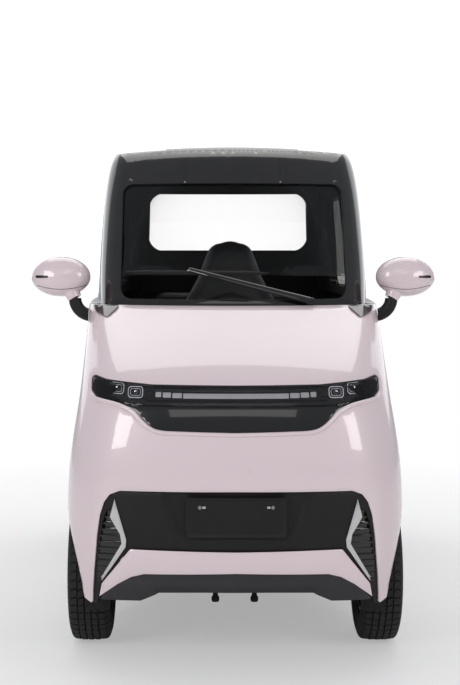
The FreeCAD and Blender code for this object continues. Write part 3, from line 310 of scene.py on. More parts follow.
class Form:
    # plan outlines of tangent arcs, one for every height
    def __init__(self, low, high, rows):
        self.low, self.high, self.known = low, high, {}
        shares = np.array([r[0] for r in rows])
        self.columns = [smoothColumn(shares, np.array([float(r[i]) for r in rows])) for i in range(1, 9)]

    def arcs(self, z, inset):
        key = (round(z, 2), round(inset, 2))
        if key in self.known:
            return self.known[key]
        share = (z - self.low) / (self.high - self.low)
        tuck, widest, sideR, back, bowR, cornerR, fore, rearR = (c(min(max(share, 0.0), 1.0)) for c in self.columns)
        half = carSize["length"] / 2
        w, nose, tail = carSize["halfWidth"] - tuck - inset, -half + back + inset, half - fore - inset
        sideR, bowR, tailR = sideR - inset, bowR - inset, carSize["tailBow"] - inset
        cornerR, rearR = (max(r - inset, carSize["leastRadius"]) for r in (cornerR, rearR))
        bow, side, stern = (0.0, nose + bowR), (w - sideR, widest), (0.0, tail - tailR)

        def meeting(c1, r1, c2, r2, sign):
            dx, dy = c2[0] - c1[0], c2[1] - c1[1]
            apart = math.hypot(dx, dy)
            along = (r1 * r1 - r2 * r2 + apart * apart) / (2 * apart)
            off = math.sqrt(max(r1 * r1 - along * along, 0.0))
            mx, my = c1[0] + along * dx / apart, c1[1] + along * dy / apart
            found = [(mx + s * off * dy / apart, my - s * off * dx / apart) for s in (1, -1)]
            return max(found, key=lambda p: sign * p[1])

        front = meeting(bow, bowR - cornerR, side, sideR - cornerR, -1)
        rear = meeting(stern, tailR - rearR, side, sideR - rearR, 1)

        def heading(a, b):
            return math.atan2(b[0] - a[0], a[1] - b[1])

        t1, t2 = heading(bow, front), heading(side, front)
        t3, t4 = heading(side, rear), heading(stern, rear)
        made, run = [], 0.0
        for c, r, a, b in ((bow, bowR, 0.0, t1), (front, cornerR, t1, t2), (side, sideR, t2, t3),
                           (rear, rearR, t3, t4), (stern, tailR, t4, math.pi)):
            made.append((c[0], c[1], r, a, b, run))
            run += r * (b - a)
        self.known[key] = (made, run)
        return self.known[key]

    def place(self, along, z, inset=0.0):
        # the point that far round the car from the nose, and the way out of the skin there
        made, run = self.arcs(z, inset)
        mirror = -1.0 if along < 0 else 1.0
        far = min(abs(along), run)
        for cx, cy, r, a, b, start in made:
            if far <= start + r * (b - a) + 1e-9:
                break
        t = a + (far - start) / r
        return mirror * (cx + r * math.sin(t)), cy - r * math.cos(t), mirror * math.sin(t), -math.cos(t)

    def onNose(self, x, z, inset=0.0):
        return self.place(self.noseX(x, z), z, inset)[:2] + (z,)

    def noseX(self, x, z, inset=0.0):
        made = self.arcs(z, inset)[0]
        far, best = abs(x), 0.0
        for cx, cy, r, a, b, start in made[:3]:
            s = (far - cx) / r
            t = math.asin(min(max(s, -1.0), 1.0))
            if t <= b or cx is made[2][0]:
                best = start + r * (min(max(t, a), b) - a)
                break
        return math.copysign(best, x)

    def tailX(self, x, z, inset=0.0):
        # the run is longest in the middle of the tail
        made = self.arcs(z, inset)[0]
        far = abs(x)
        for cx, cy, r, a, b, start in (made[4], made[3]):
            t = math.pi - math.asin(min(max((far - cx) / r, -1.0), 1.0))
            if t >= a:
                break
        return math.copysign(start + r * (min(max(t, a), b) - a), x)

    def flankY(self, y, z, side=1.0, inset=0.0):
        made = self.arcs(z, inset)[0]
        for cx, cy, r, a, b, start in made:
            t = math.acos(min(max((cy - y) / r, -1.0), 1.0))
            if y <= cy - r * math.cos(b) + 1e-9:
                break
        return side * (start + r * (min(max(t, a), b) - a))


lowerForm = Form(carSize["skirt"], carSize["belt"], lowerRows)
upperForm = Form(carSize["belt"], carSize["roof"], upperRows)
crownColumn = smoothColumn(np.array([-carSize["length"] / 2 + s * carSize["length"] for s, d in crownRows]),
                           np.array([float(d) for s, d in crownRows]))


def crownZ(x, y, inset=0.0):
    span, drop = 700.0, 60.0
    radius = (span * span + drop * drop) / (2 * drop)
    return carSize["roof"] - crownColumn(y) - inset - (radius - math.sqrt(radius * radius - x * x))


# Outlines and meshes

def mirroredLoop(half):
    return half + [(-x, z) for x, z in reversed(half) if x > 0]


def roundedLoop(points, radius, step=8.0):
    # a polygon with rounded corners and short edges
    out, n = [], len(points)
    for i in range(n):
        p, q, r = (Vector(points[(i + k) % n]) for k in (-1, 0, 1))
        a, b = (p - q), (r - q)
        la, lb = a.length, b.length
        a, b = a / la, b / lb
        turn = math.pi - math.acos(min(max(a.dot(b), -1.0), 1.0))
        if radius <= 0 or turn < 0.02:
            out.append(q)
            continue
        reach = min(radius * math.tan(turn / 2), 0.45 * la, 0.45 * lb)
        r1 = reach / math.tan(turn / 2)
        start, end = q + a * reach, q + b * reach
        centre = q + (a + b).normalized() * (r1 / math.cos(turn / 2))
        count = max(2, int(r1 * turn / 4.0))
        u, v = start - centre, end - centre
        for k in range(count + 1):
            s = k / count
            w = (u * math.sin((1 - s) * turn) + v * math.sin(s * turn)) / math.sin(turn)
            out.append(centre + w)
    loop = []
    for a, b in zip(out, out[1:] + out[:1]):
        count = max(1, int(math.ceil((b - a).length / step)))
        loop += [tuple(a.lerp(b, k / count)) for k in range(count)]
    return loop


def grownLoop(points, by):
    # every point moved out along the mean of its two edges' normals
    area = sum(a[0] * b[1] - b[0] * a[1] for a, b in zip(points, points[1:] + points[:1]))
    turn = 1.0 if area > 0 else -1.0
    out = []
    for p, q, r in zip(points[-1:] + points[:-1], points, points[1:] + points[:1]):
        n1 = Vector((q[1] - p[1], p[0] - q[0])).normalized() * turn
        n2 = Vector((r[1] - q[1], q[0] - r[0])).normalized() * turn
        n = (n1 + n2)
        n = n / max(n.length_squared / 2, 0.5)
        out.append((q[0] + n.x * by, q[1] + n.y * by))
    return out


def insideMany(points, loop):
    x, z = points[:, 0], points[:, 1]
    odd = np.zeros(len(points), bool)
    ring = np.array(loop)
    for (x1, z1), (x2, z2) in zip(ring, np.roll(ring, -1, 0)):
        hit = (z1 > z) != (z2 > z)
        if z1 != z2:
            odd ^= hit & (x < (x2 - x1) * (z - z1) / (z2 - z1) + x1)
    return odd


def edgeDistance(points, loop, closed=True):
    ring = np.array(loop)
    best = np.full(len(points), 1e9)
    for p, q in zip(ring, np.roll(ring, -1, 0) if closed else ring[1:]):
        d = q - p
        t = np.clip(((points - p) @ d) / max(d @ d, 1e-9), 0, 1)
        best = np.minimum(best, np.linalg.norm(points - (p + t[:, None] * d), axis=1))
    return best


def fillRegion(outer, holes, step, guides=()):
    # triangles of a flat region with holes, on an even grid, with guide loops followed
    loops = [outer] + list(holes) + list(guides)

    def within(spots):
        keep = insideMany(spots, outer)
        for loop in holes:
            keep &= ~insideMany(spots, loop)
        return keep

    points, edges = [], []
    for loop in loops:
        first = len(points)
        points += [Vector(p) for p in loop]
        edges += [(first + i, first + (i + 1) % len(loop)) for i in range(len(loop))]
    flat = np.array([tuple(p) for p in points])
    low, high = flat.min(0), flat.max(0)
    gx = np.arange(low[0] + step * 0.37, high[0], step)
    gz = np.arange(low[1] + step * 0.41, high[1], step * 0.87)
    grid = np.array([(x + (step / 2 if k % 2 else 0.0), z) for k, z in enumerate(gz) for x in gx])
    grid = grid[within(grid)]
    for loop in loops:
        grid = grid[edgeDistance(grid, loop) > step * 0.45] if len(grid) else grid
    points += [Vector(p) for p in grid]
    found = geometry.delaunay_2d_cdt(points, edges, [], 0, 0.02)
    spots, faces = np.array([tuple(v) for v in found[0]]), np.array(found[2])
    faces = faces[within(spots[faces].mean(1))]
    used = np.unique(faces)
    number = np.full(len(spots), -1)
    number[used] = np.arange(len(used))
    return spots[used], number[faces]


# Pieces

def linked(name, data):
    obj = bpy.data.objects.new(name, data)
    bpy.context.scene.collection.objects.link(obj)
    return obj


def applied(obj):
    # the mesh that the object's modifiers make, with none left on the object
    bpy.context.view_layer.update()
    mesh = bpy.data.meshes.new_from_object(obj.evaluated_get(bpy.context.evaluated_depsgraph_get()))
    obj.modifiers.clear()
    return mesh


def rawMesh(name, verts, faces):
    mesh = bpy.data.meshes.new(name)
    mesh.from_pydata([(x * mm, y * mm, z * mm) for x, y, z in verts], [], [tuple(int(i) for i in f) for f in faces])
    return mesh


def meshPiece(name, verts, faces, finish, body="car_body", smooth=34.0, replaced=(), bevel=None, solid=None):
    # verts in millimetres; solid is a wall's thickness, bevel the width of its rounded edges
    return finishPiece(name, rawMesh(name, verts, faces), finish, body, smooth, replaced, bevel, solid)


def finishPiece(name, mesh, finish, body, smooth=34.0, replaced=(), bevel=None, solid=None):
    mesh.validate()
    obj = linked(name, mesh)
    mesh.materials.clear()
    mesh.materials.append(finishes[finish])
    if solid:
        wall = obj.modifiers.new("Wall", "SOLIDIFY")
        wall.thickness, wall.offset = abs(solid) * mm, -1.0 if solid > 0 else 1.0
        wall.use_even_offset = False
    if bevel:
        edge = obj.modifiers.new("Edge", "BEVEL")
        edge.width, edge.segments, edge.limit_method = bevel * mm, 2, "ANGLE"
        edge.angle_limit = math.radians(50.0)
        edge.use_clamp_overlap = True
    if solid or bevel:
        obj.data = mesh = applied(obj)
        mesh.name = name
    mesh.polygons.foreach_set("use_smooth", [True] * len(mesh.polygons))
    mesh.set_sharp_from_angle(angle=math.radians(smooth))
    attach(obj, body)
    if replaced:
        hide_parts(*replaced)
    return obj


def turnedTo(verts, faces, way):
    # the faces in the order that makes the first look along way
    a, b, c = (Vector(verts[i]) for i in faces[0])
    return faces[:, ::-1] if (b - a).cross(c - a).dot(Vector(way)) < 0 else faces


def skin(name, form, loop, finish, holes=(), inset=0.0, depth=None, step=14.0, wall=12.0, guides=(), replaced=(),
         bevel=1.2, smooth=40.0):
    # a panel on one of the body's forms; loops are (run from the nose, height)
    spots, faces = fillRegion(loop, holes, step, guides)
    sink = depth(spots) if depth else np.zeros(len(spots))
    verts = []
    for (along, z), down in zip(spots, sink):
        x, y, nx, ny = form.place(along, z, inset)
        verts.append((x - nx * down, y - ny * down, z))
    out = form.place(*spots[faces[0][0]], inset)[2:] + (0.0,)
    return meshPiece(name, verts, turnedTo(verts, faces, out), finish, "car_body", smooth, replaced, bevel, wall)


def noseLoop(points, radius=0.0):
    return [(lowerForm.noseX(x, z), z) for x, z in roundedLoop(points, radius, 8.0)]


def carried(name, finish, bevel=None, smooth=32.0, flat=0.05):
    # a welded copy of a solid, with its edges softened, in place of it
    mesh = nodes[name].data.copy()
    work = bmesh.new()
    work.from_mesh(mesh)
    bmesh.ops.remove_doubles(work, verts=work.verts, dist=0.02 * mm)
    if flat:
        bmesh.ops.dissolve_limit(work, angle_limit=math.radians(flat), verts=work.verts, edges=work.edges)
    work.to_mesh(mesh)
    work.free()
    if mesh.has_custom_normals:
        mesh.normals_split_custom_set([(0.0, 0.0, 0.0)] * len(mesh.loops))
    return finishPiece("shaped_" + name, mesh, finish, bodyOf[name], smooth, (name,), bevel)


def quads(rows, cols, shut=True, ring=False, across=True):
    # faces of a grid of points, row after row; shut joins its last column to the first, ring its last row
    faces = []
    for k in range(rows if ring else rows - 1):
        for i in range(cols if shut else cols - 1):
            here, below, j = k * cols, ((k + 1) % rows) * cols, (i + 1) % cols
            faces.append((here + i, here + j, below + j, below + i) if across
                         else (here + i, below + i, below + j, here + j))
    return faces


def circlePoints(count):
    return [(math.cos(t), math.sin(t)) for t in (2 * math.pi * k / count for k in range(count))]


def lathe(profile, turns, side=1.0, shut=False):
    # a turned shape on the X axis; profile is (along the axis, radius)
    verts = [(u * side, r * c, r * s) for c, s in circlePoints(turns) for u, r in profile]
    return outward(verts, quads(turns, len(profile), shut, True))


def sweep(path, radius, sides=8, closed=False, squash=1.0, up=None):
    # a tube along points in millimetres, capped at its ends
    pts = [Vector(p) for p in path]
    n, verts = len(pts), []
    normal = Vector(up) if up else None
    for i, p in enumerate(pts):
        a, b = pts[(i - 1) % n] if closed or i else pts[0], pts[(i + 1) % n] if closed or i < n - 1 else pts[-1]
        along = (b - a).normalized()
        if normal is None:
            normal = along.orthogonal().normalized()
        normal = (normal - along * normal.dot(along)).normalized()
        side = along.cross(normal)
        r = radius(i / max(n - 1, 1)) if callable(radius) else radius
        verts += [tuple(p + normal * (r * squash * c) + side * (r * s)) for c, s in circlePoints(sides)]
    faces = quads(n, sides, True, closed, False)
    if not closed:
        faces += [tuple(range(sides)), tuple(reversed(range((n - 1) * sides, n * sides)))]
    return verts, faces


def joined(*parts):
    verts, faces = [], []
    for v, f in parts:
        base = len(verts)
        verts += v
        faces += [tuple(base + i for i in face) for face in f]
    return verts, faces


def moved(part, change):
    # the same faces on points that change makes of the old ones
    return [change(*v) for v in part[0]], part[1]


def meshOut(work):
    out = [tuple(v.co) for v in work.verts], [tuple(v.index for v in f.verts) for f in work.faces]
    work.free()
    return out


def outward(verts, faces):
    # the same mesh with its faces turned outwards
    mesh = bpy.data.meshes.new("turn")
    mesh.from_pydata(verts, [], faces)
    work = bmesh.new()
    work.from_mesh(mesh)
    bpy.data.meshes.remove(mesh)
    bmesh.ops.remove_doubles(work, verts=work.verts, dist=0.001)
    bmesh.ops.recalc_face_normals(work, faces=work.faces)
    return meshOut(work)


def roundedBox(x0, x1, y0, y1, z0, z1, r):
    work = bmesh.new()
    bmesh.ops.create_cube(work, size=1.0)
    low, size = Vector((x0, y0, z0)), Vector((x1 - x0, y1 - y0, z1 - z0))
    for v in work.verts:
        v.co = low + Vector([(c + 0.5) * s for c, s in zip(v.co, size)])
    bmesh.ops.bevel(work, geom=list(work.edges), offset=r, segments=2, profile=0.5, affect="EDGES")
    bmesh.ops.recalc_face_normals(work, faces=work.faces)
    return meshOut(work)


# Nose

noseTable = {
    "band": [(0, 736), (155, 739), (234, 742), (271, 755), (301, 780), (322, 801), (367, 820), (443, 834),
             (465, 854), (467, 905), (415, 892), (264, 881), (0, 880)],
    "lens": [(0, 816), (320, 816), (367, 826), (438, 840), (459, 856), (461, 898), (415, 886), (264, 875), (0, 874)],
    "bead": [(465, 848), (443, 831), (367, 817), (322, 797), (301, 776), (271, 751), (234, 738), (155, 735), (0, 732)],
    "grille": [(0, 372), (330, 375), (422, 259), (437, 185), (455, 185), (453, 230), (445, 322), (438, 408),
               (428, 475), (414, 517), (395, 543), (362, 556), (0, 559)],
    "dish": [(0, 416), (150, 416), (186, 432), (208, 470), (226, 540), (226, 558), (0, 558)],
    "lip": [(0, 242), (232, 242), (255, 230), (297, 210), (435, 205), (370, 262), (326, 288), (286, 299), (0, 306)],
    "lipTop": [(439, 208), (370, 262), (326, 288), (286, 299), (0, 306)],
    "vent": [(390, 500), (361, 425), (354, 389), (424, 270), (433, 262), (433, 322), (427, 400), (416, 458), (404, 492)],
    "accent": [(378, 530), (368, 495), (341, 404), (343, 381), (420, 268), (424, 276), (356, 391), (361, 420),
               (387, 462), (393, 473)],
    "foot": [(395, 1125), (399, 1108), (433, 1076), (474, 1091), (500, 1125)],
    "undercut": [(560, 262), (520, 235), (480, 200), (458, 188)],
    "crease": [(372, 574), (415, 556), (440, 532)],
}
doorTable = {"front": -430.0, "rear": 330.0, "bottom": 221.0, "top": 1546.0, "lean": 25.0, "pillar": 270.0, "gap": 8.0}


def flip(loop):
    return [(-a, z) for a, z in reversed(loop)]


def softStep(away, width, deep):
    # deep where a point is on a line, nothing from width on
    return np.clip(1.0 - away / width, 0, 1) ** 2 * deep


def bothSides(spots, loop):
    return np.minimum(edgeDistance(spots, loop), edgeDistance(spots, flip(loop)))


def makeNose():
    s = {"archZ": 255.0, "archStep": 0.085, "topSteps": 40, "sideSteps": 70, "lipStep": 9.0, "endTurn": -0.2}
    d, r = doorTable, carSize["arch"]
    rear, belt, skirt = d["front"] - d["gap"], carSize["belt"], carSize["skirt"]
    top = lowerForm.flankY(rear - d["lean"], belt)
    half = [(top * k / s["topSteps"], belt) for k in range(s["topSteps"] + 1)]
    for k in range(1, s["sideSteps"] + 1):
        z = belt + (d["bottom"] - belt) * k / s["sideSteps"]
        half.append((lowerForm.flankY(rear - d["lean"] * (z - d["bottom"]) / (belt - d["bottom"]), z), z))
    half += [(lowerForm.flankY(rear, z), z) for z in (200.0, 175.0, skirt)]
    undercut = noseTable["undercut"]
    archLoop, turn = [], math.pi - math.acos((s["archZ"] - skirt) / r)
    while turn > -math.pi / 2 + s["endTurn"]:
        # round the arch until its line meets the undercut in front of the wheel
        z = s["archZ"] + r * math.cos(turn)
        along = lowerForm.flankY(carSize["frontAxle"] + r * math.sin(turn), z)
        across = lowerForm.place(along, z)[0]
        if turn < -1.0 and z < np.interp(across, *zip(*undercut[::-1])):
            break
        archLoop.append((along, z))
        turn -= s["archStep"]
    half += archLoop
    low = [(lowerForm.noseX(x, z), z) for x, z in undercut[1:]]
    half += [p for p in low if p[0] < archLoop[-1][0] - 4.0]
    for (ax, az), (bx, bz) in zip(noseTable["lipTop"], noseTable["lipTop"][1:]):
        n = max(1, int(math.hypot(bx - ax, bz - az) / s["lipStep"]))
        for k in range(n):
            x, z = ax + (bx - ax) * k / n, az + (bz - az) * k / n
            half.append((lowerForm.noseX(x, z), z))
    half.append((0.0, float(noseTable["lipTop"][-1][1])))
    band, grille = (noseLoop(mirroredLoop(noseTable[part]), 14.0) for part in ("band", "grille"))
    foot = noseLoop(noseTable["foot"], 4.0)
    crease = [(lowerForm.noseX(x, z), z) for x, z in noseTable["crease"]]

    def sink(spots):
        # rolled edge round the band, soft shoulder round the bumper panel, turned-in arch lip, creases
        return (softStep(edgeDistance(spots, band), 9.0, 3.0) + softStep(edgeDistance(spots, grille), 26.0, 3.5)
                + softStep(bothSides(spots, archLoop[1:-1]), 7.0, 2.0) + softStep(bothSides(spots, crease), 20.0, 3.0))

    skin("nose_skin", lowerForm, half + flip(half[1:-1]), "paint", [band, grille, foot, flip(foot)], 0.0, sink,
         15.0, 12.0, [grownLoop(band, 9.0), grownLoop(grille, 12.0)], ("front_fascia",), 1.6)


def smoothRun(points, steps=8):
    # a flowing line through the points
    pts = [Vector(p) for p in points]
    out = []
    for i in range(len(pts) - 1):
        p0, p1, p2, p3 = pts[max(i - 1, 0)], pts[i], pts[i + 1], pts[min(i + 2, len(pts) - 1)]
        for k in range(steps):
            t = k / steps
            out.append(tuple(0.5 * (2 * p1 + (p2 - p0) * t + (2 * p0 - 5 * p1 + 4 * p2 - p3) * t * t
                                    + (3 * p1 - p0 - 3 * p2 + p3) * t ** 3)))
    return out + [tuple(pts[-1])]


def makeBand():
    band, lens = noseLoop(mirroredLoop(noseTable["band"]), 14.0), noseLoop(mirroredLoop(noseTable["lens"]), 8.0)

    def sink(spots):
        return np.where(insideMany(spots, grownLoop(lens, -1.0)), 11.0, 0.0)

    skin("band_trough", lowerForm, grownLoop(band, -0.8), "glossBlack", (), 6.0, sink, 12.0, 6.0,
         [lens, grownLoop(lens, -2.0)], ("light_band",), 0.8)
    skin("lamp_cover", lowerForm, grownLoop(lens, -0.6), "lampGlass", (), 3.0, None, 12.0, 2.4, (), ("lamp_lens",), 0.5)
    line = smoothRun(noseTable["bead"])
    whole = line + [(-x, z) for x, z in reversed(line[:-1])]
    tube = sweep([lowerForm.onNose(x, z, 1.0) for x, z in whole],
                 lambda t: 6.5 * min(1.0, 14.0 * t, 14.0 * (1.0 - t)) + 0.6, 12)
    meshPiece("band_bead", *tube, "paint", smooth=60.0)


def makeBumper():
    s = {"dishDeep": 8.5, "dishEase": 15.0, "topZ": 548.0, "footZ": 384.0, "footReach": 330.0, "foldZ": 262.0,
         "foldWide": 22.0, "foldReach": 250.0}
    grille, dish = noseLoop(mirroredLoop(noseTable["grille"]), 14.0), noseLoop(mirroredLoop(noseTable["dish"]), 24.0)
    vents = [noseLoop(noseTable["vent"], 6.0), noseLoop(noseTable["accent"], 1.0)]
    vents += [flip(v) for v in vents]

    def sink(spots):
        # a shallow dish behind the plate, with a soft step round it, and rolled edges above and below
        ease = np.clip(edgeDistance(spots, dish) / s["dishEase"], 0, 1)
        inner = insideMany(spots, dish) * (s["dishDeep"] * ease * ease * (3 - 2 * ease))
        top = np.clip((spots[:, 1] - s["topZ"]) / 11.0, 0, 1) ** 2 * 4.0
        foot = np.clip((s["footZ"] - spots[:, 1]) / 10.0, 0, 1) ** 2 * 3.0 * (np.abs(spots[:, 0]) < s["footReach"])
        return inner + top + foot

    skin("bumper_panel", lowerForm, grownLoop(grille, -1.0), "satinBlack", vents, 9.0, sink, 10.0, 10.0, [dish],
         ("grille_panel",), 1.2, 50.0)

    def fold(spots):
        over = (spots[:, 1] - s["foldZ"]) / s["foldWide"]
        return np.clip(over, 0, 1) * 5.0 + np.clip(-over, 0, 1) * (np.abs(spots[:, 0]) < s["foldReach"]) * 6.0

    lip = noseLoop(mirroredLoop(noseTable["lip"]), 6.0)
    skin("lower_lip", lowerForm, grownLoop(lip, -0.8), "lipGrey", (), 1.0, fold, 9.0, 14.0, (), ("front_lip",), 1.6, 30.0)
    carried("corner_accents", "brightTrim", 1.0)
    carried("corner_vents", "glossBlack", 0.6)


# Lamps in the band

def corners(x0, x1, z0, z1):
    return [(x0, z0), (x1, z0), (x1, z1), (x0, z1)]


def around(x, z, wide, high):
    return corners(x - wide / 2, x + wide / 2, z - high / 2, z + high / 2)


def blockOn(x, z, wide, high, corner, front, back=16.8):
    # a rounded pad on the nose: an outline at some depths below the skin, with a soft front edge
    loop = roundedLoop(around(x, z, wide, high), corner, 6.0)
    rings = [(back, 0.0), (front + 2.0, 0.0), (front + 0.6, -0.6), (front, -2.0)]
    verts = [lowerForm.onNose(*p, depth) for depth, grow in rings for p in grownLoop(loop, grow)]
    return capped(verts, len(rings), len(loop), lowerForm.onNose(x, z, front))


def capped(verts, rows, cols, tip):
    # rings of points closed by a fan at the tip and one face at the foot
    faces, top = quads(rows, cols), (rows - 1) * cols
    faces += [(top + i, top + (i + 1) % cols, len(verts)) for i in range(cols)]
    return outward(verts + [tip], faces + [tuple(reversed(range(cols)))])


def ringOn(x, z, wide, high, corner, depth, thick):
    # a thin lit outline
    loop = roundedLoop(around(x, z, wide, high), corner, 5.0)
    return sweep([lowerForm.onNose(*p, depth) for p in loop], thick, 8, True)


def domeOn(x, z, radius, depth, bulge, rings=6, turns=24):
    a, b, nx, ny = lowerForm.place(lowerForm.noseX(x, z), z, depth)
    foot, out, side, up = Vector((a, b, z)), Vector((nx, ny, 0.0)), Vector((-ny, nx, 0.0)), Vector((0, 0, 1))
    verts = []
    for rise, wide in ((math.sin(t), radius * math.cos(t)) for t in (math.pi / 2 * k / rings for k in range(rings))):
        verts += [tuple(foot + out * bulge * rise + side * (wide * c) + up * (wide * s)) for c, s in circlePoints(turns)]
    return capped(verts, rings, turns, tuple(foot + out * bulge))


lampTable = {
    # centre x, centre z, width, height, corner
    "units": [(316, 856, 46, 32, 9), (377, 866, 46, 32, 9), (428, 868, 24, 30, 8)],
    "bars": [(184, 848, 30, 15, 2.0), (216, 849, 26, 15, 2.0), (243, 850, 18, 15, 2.0)],
    "longBar": (847, 330, 15, 21),   # height, length, width, segments
    "fins": (9, 262.0, 3.4),         # count, first, spacing
    "rails": (860.5, 833.5),
}


def makeLamps():
    bowls, rings, lenses, bars, fins, ambers = [], [], [], [], [], []
    for side in (1.0, -1.0):
        for x, z, wide, high, corner in lampTable["units"]:
            x *= side
            bowls.append(blockOn(x, z, wide + 6, high + 6, corner + 2, 12.5))
            rings += [ringOn(x, z, wide, high, corner, 11.6, 1.5),
                      ringOn(x, z, wide - 14, high - 12, corner - 4, 11.8, 0.7)]
            if wide > 30:
                lenses.append(domeOn(x, z, 9.0, 12.6, 5.5))
        bars += [blockOn(side * x, *rest, 11.0) for x, *rest in lampTable["bars"]]
        count, first, spacing = lampTable["fins"]
        fins += [blockOn(side * (first + k * spacing), 856.0, 1.2, 26.0, 0.4, 11.5) for k in range(count)]
        ambers.append(blockOn(side * 451.0, 868.0, 9.0, 30.0, 3.0, 12.0))
    z, long, high, count = lampTable["longBar"]
    bars += [blockOn((k - count // 2) * long / count, z, long / count + 0.05, high, 0.1, 11.0) for k in range(count)]
    rails = [sweep([lowerForm.onNose(k * 4.6, z, 12.0) for k in range(-62, 63)], 1.6, 6) for z in lampTable["rails"]]
    for name, parts, finish, replaced in (
            ("lamp_bowls", bowls + fins, "lampBlack", ("lamp_units",)), ("lamp_outlines", rings, "haloRing", ()),
            ("lamp_projectors", lenses, "lampChrome", ()), ("light_bar_segments", bars, "lightBar", ()),
            ("lamp_rails", rails, "lampChrome", ()), ("lamp_markers", ambers, "amberLens", ())):
        meshPiece(name, *joined(*parts), finish, smooth=30.0, replaced=replaced)
    print("lamps made")


# Plate bracket and its bolts

def makeBracket():
    s = {"half": 155.0, "low": 418.0, "high": 540.0, "face": -1180.0, "rim": 5.0, "lift": 1.6, "boltX": 112.5,
         "boltZ": 512.0, "slotIn": 13.0}
    loop = roundedLoop(corners(-s["half"], s["half"], s["low"], s["high"]), 8.0, 6.0)
    spots, faces = fillRegion(loop, [], 12.0, [grownLoop(loop, -s["rim"]), grownLoop(loop, -s["rim"] - 2.0)])
    inner = insideMany(spots, grownLoop(loop, -s["rim"] - 1.0))
    verts = [(x, s["face"] + (s["lift"] if deep else 0.0), z) for (x, z), deep in zip(spots, inner)]
    meshPiece("plate_holder", verts, turnedTo(verts, faces, (0, -1, 0)), "satinBlack", "car_body", 40.0,
              ("plate_bracket",), 0.8, 7.0)
    seat = s["face"] + s["lift"]
    head = lathe([(0.0, 0.0), (0.0, 6.2), (2.4, 6.2), (3.4, 5.2), (4.0, 0.0)], 24)
    heads, marks = [], []
    for side in (-1.0, 1.0):
        heads.append(outward(*moved(head, lambda a, b, c: (side * s["boltX"] + b, seat - a, s["boltZ"] + c))))
        x = side * (s["boltX"] - s["slotIn"])
        marks.append(roundedBox(x - 5.0, x + 5.0, seat - 0.8, seat + 1.0, s["boltZ"] - 3.5, s["boltZ"] + 3.5, 0.6))
    meshPiece("plate_bolts", *joined(*heads), "bareSteel", smooth=30.0)
    meshPiece("plate_slots", *joined(*marks), "brightTrim", smooth=30.0)


for make in (makeNose, makeBand, makeBumper, makeLamps, makeBracket):
    make()
print("nose made")

carriedFinish = {
    "hinge_leaves": "frameSteel", "cabin_tub": "tubSteel", "dashboard": "cabinPlastic",
    "steering_column": "cabinPlastic", "steering_wheel": "seatCover", "seat_bases": "cabinPlastic",
    "chassis_frame": "frameSteel", "battery_pack": "batterySkin", "front_suspension": "frameSteel",
    "rear_axle": "frameSteel", "knuckle_left": "frameSteel", "knuckle_right": "frameSteel",
    "mirror_housings": "paint", "mirror_arms": "satinBlack",
}
for name, finish in carriedFinish.items():
    carried(name, finish)
print("solids carried over")


# Solids carried over with the forms' own normals

def standOff(form, x, y, z):
    # distance of a point from a form, in plan, and the form's normal there
    def off(height):
        for cx, cy, r, a, b, start in form.arcs(float(height), 0.0)[0]:
            t = math.atan2(abs(x) - cx, cy - y)
            if a - 1e-6 <= t <= b + 1e-6:
                return math.hypot(abs(x) - cx, y - cy) - r, t
        return None, 0.0

    level = round(z)
    (here, t), (above, _), (below, _) = off(level), off(level + 1), off(level - 1)
    if here is None or above is None or below is None:
        return None
    slope = (above - below) / 2
    normal = Vector((math.copysign(math.sin(t), x), -math.cos(t), slope)).normalized()
    return here + slope * (z - level), normal


def crownOff(x, y, z):
    sx, sy = (crownZ(x + 1, y) - crownZ(x - 1, y)) / 2, (crownZ(x, y + 1) - crownZ(x, y - 1)) / 2
    return z - crownZ(x, y), Vector((-sx, -sy, 1.0)).normalized()


shellSettings = {"sameDepth": 2.5, "facing": 0.90, "liningDepth": 4.0, "crownLow": 1450.0, "crownWide": 650.0,
                 "overlap": 2.0}


def surfaceFacts(p):
    # for the roof's crown, the upper and the lower form: height of the point over it, and its normal
    s, (x, y, z) = shellSettings, p
    over = z - carSize["belt"]
    return (crownOff(x, y, z) if z > s["crownLow"] and abs(x) < s["crownWide"] else None,
            standOff(upperForm, x, y, z) if over > -s["overlap"] else None,
            standOff(lowerForm, x, y, z) if over < s["overlap"] else None)


def onForm(name, finish, lining=None):
    # a welded copy of a solid; faces that lie on a form, or at one depth under it, are shaded by the form
    s = shellSettings
    obj = carried(name, finish, flat=None)
    mesh = obj.data
    if lining:
        mesh.materials.append(finishes[lining])
    facts = [surfaceFacts(v.co / mm) for v in mesh.vertices]
    normals = [(0.0, 0.0, 0.0)] * len(mesh.loops)
    for face in mesh.polygons:
        sunk, shaded = [], False
        for kind in range(3):
            found = [facts[i][kind] for i in face.vertices]
            if any(c is None for c in found):
                continue
            depths = [c[0] for c in found]
            sunk.append(max(depths))
            middle = sum((c[1] for c in found), Vector()).normalized()
            facing = middle.dot(face.normal)
            if not shaded and max(depths) - min(depths) < s["sameDepth"] and abs(facing) > s["facing"]:
                shaded = True
                for loop in face.loop_indices:
                    normal = facts[mesh.loops[loop].vertex_index][kind][1]
                    normals[loop] = tuple(normal if facing > 0 else -normal)
        if lining and sunk and max(sunk) < -s["liningDepth"]:
            face.material_index = 1
    mesh.normals_split_custom_set(normals)


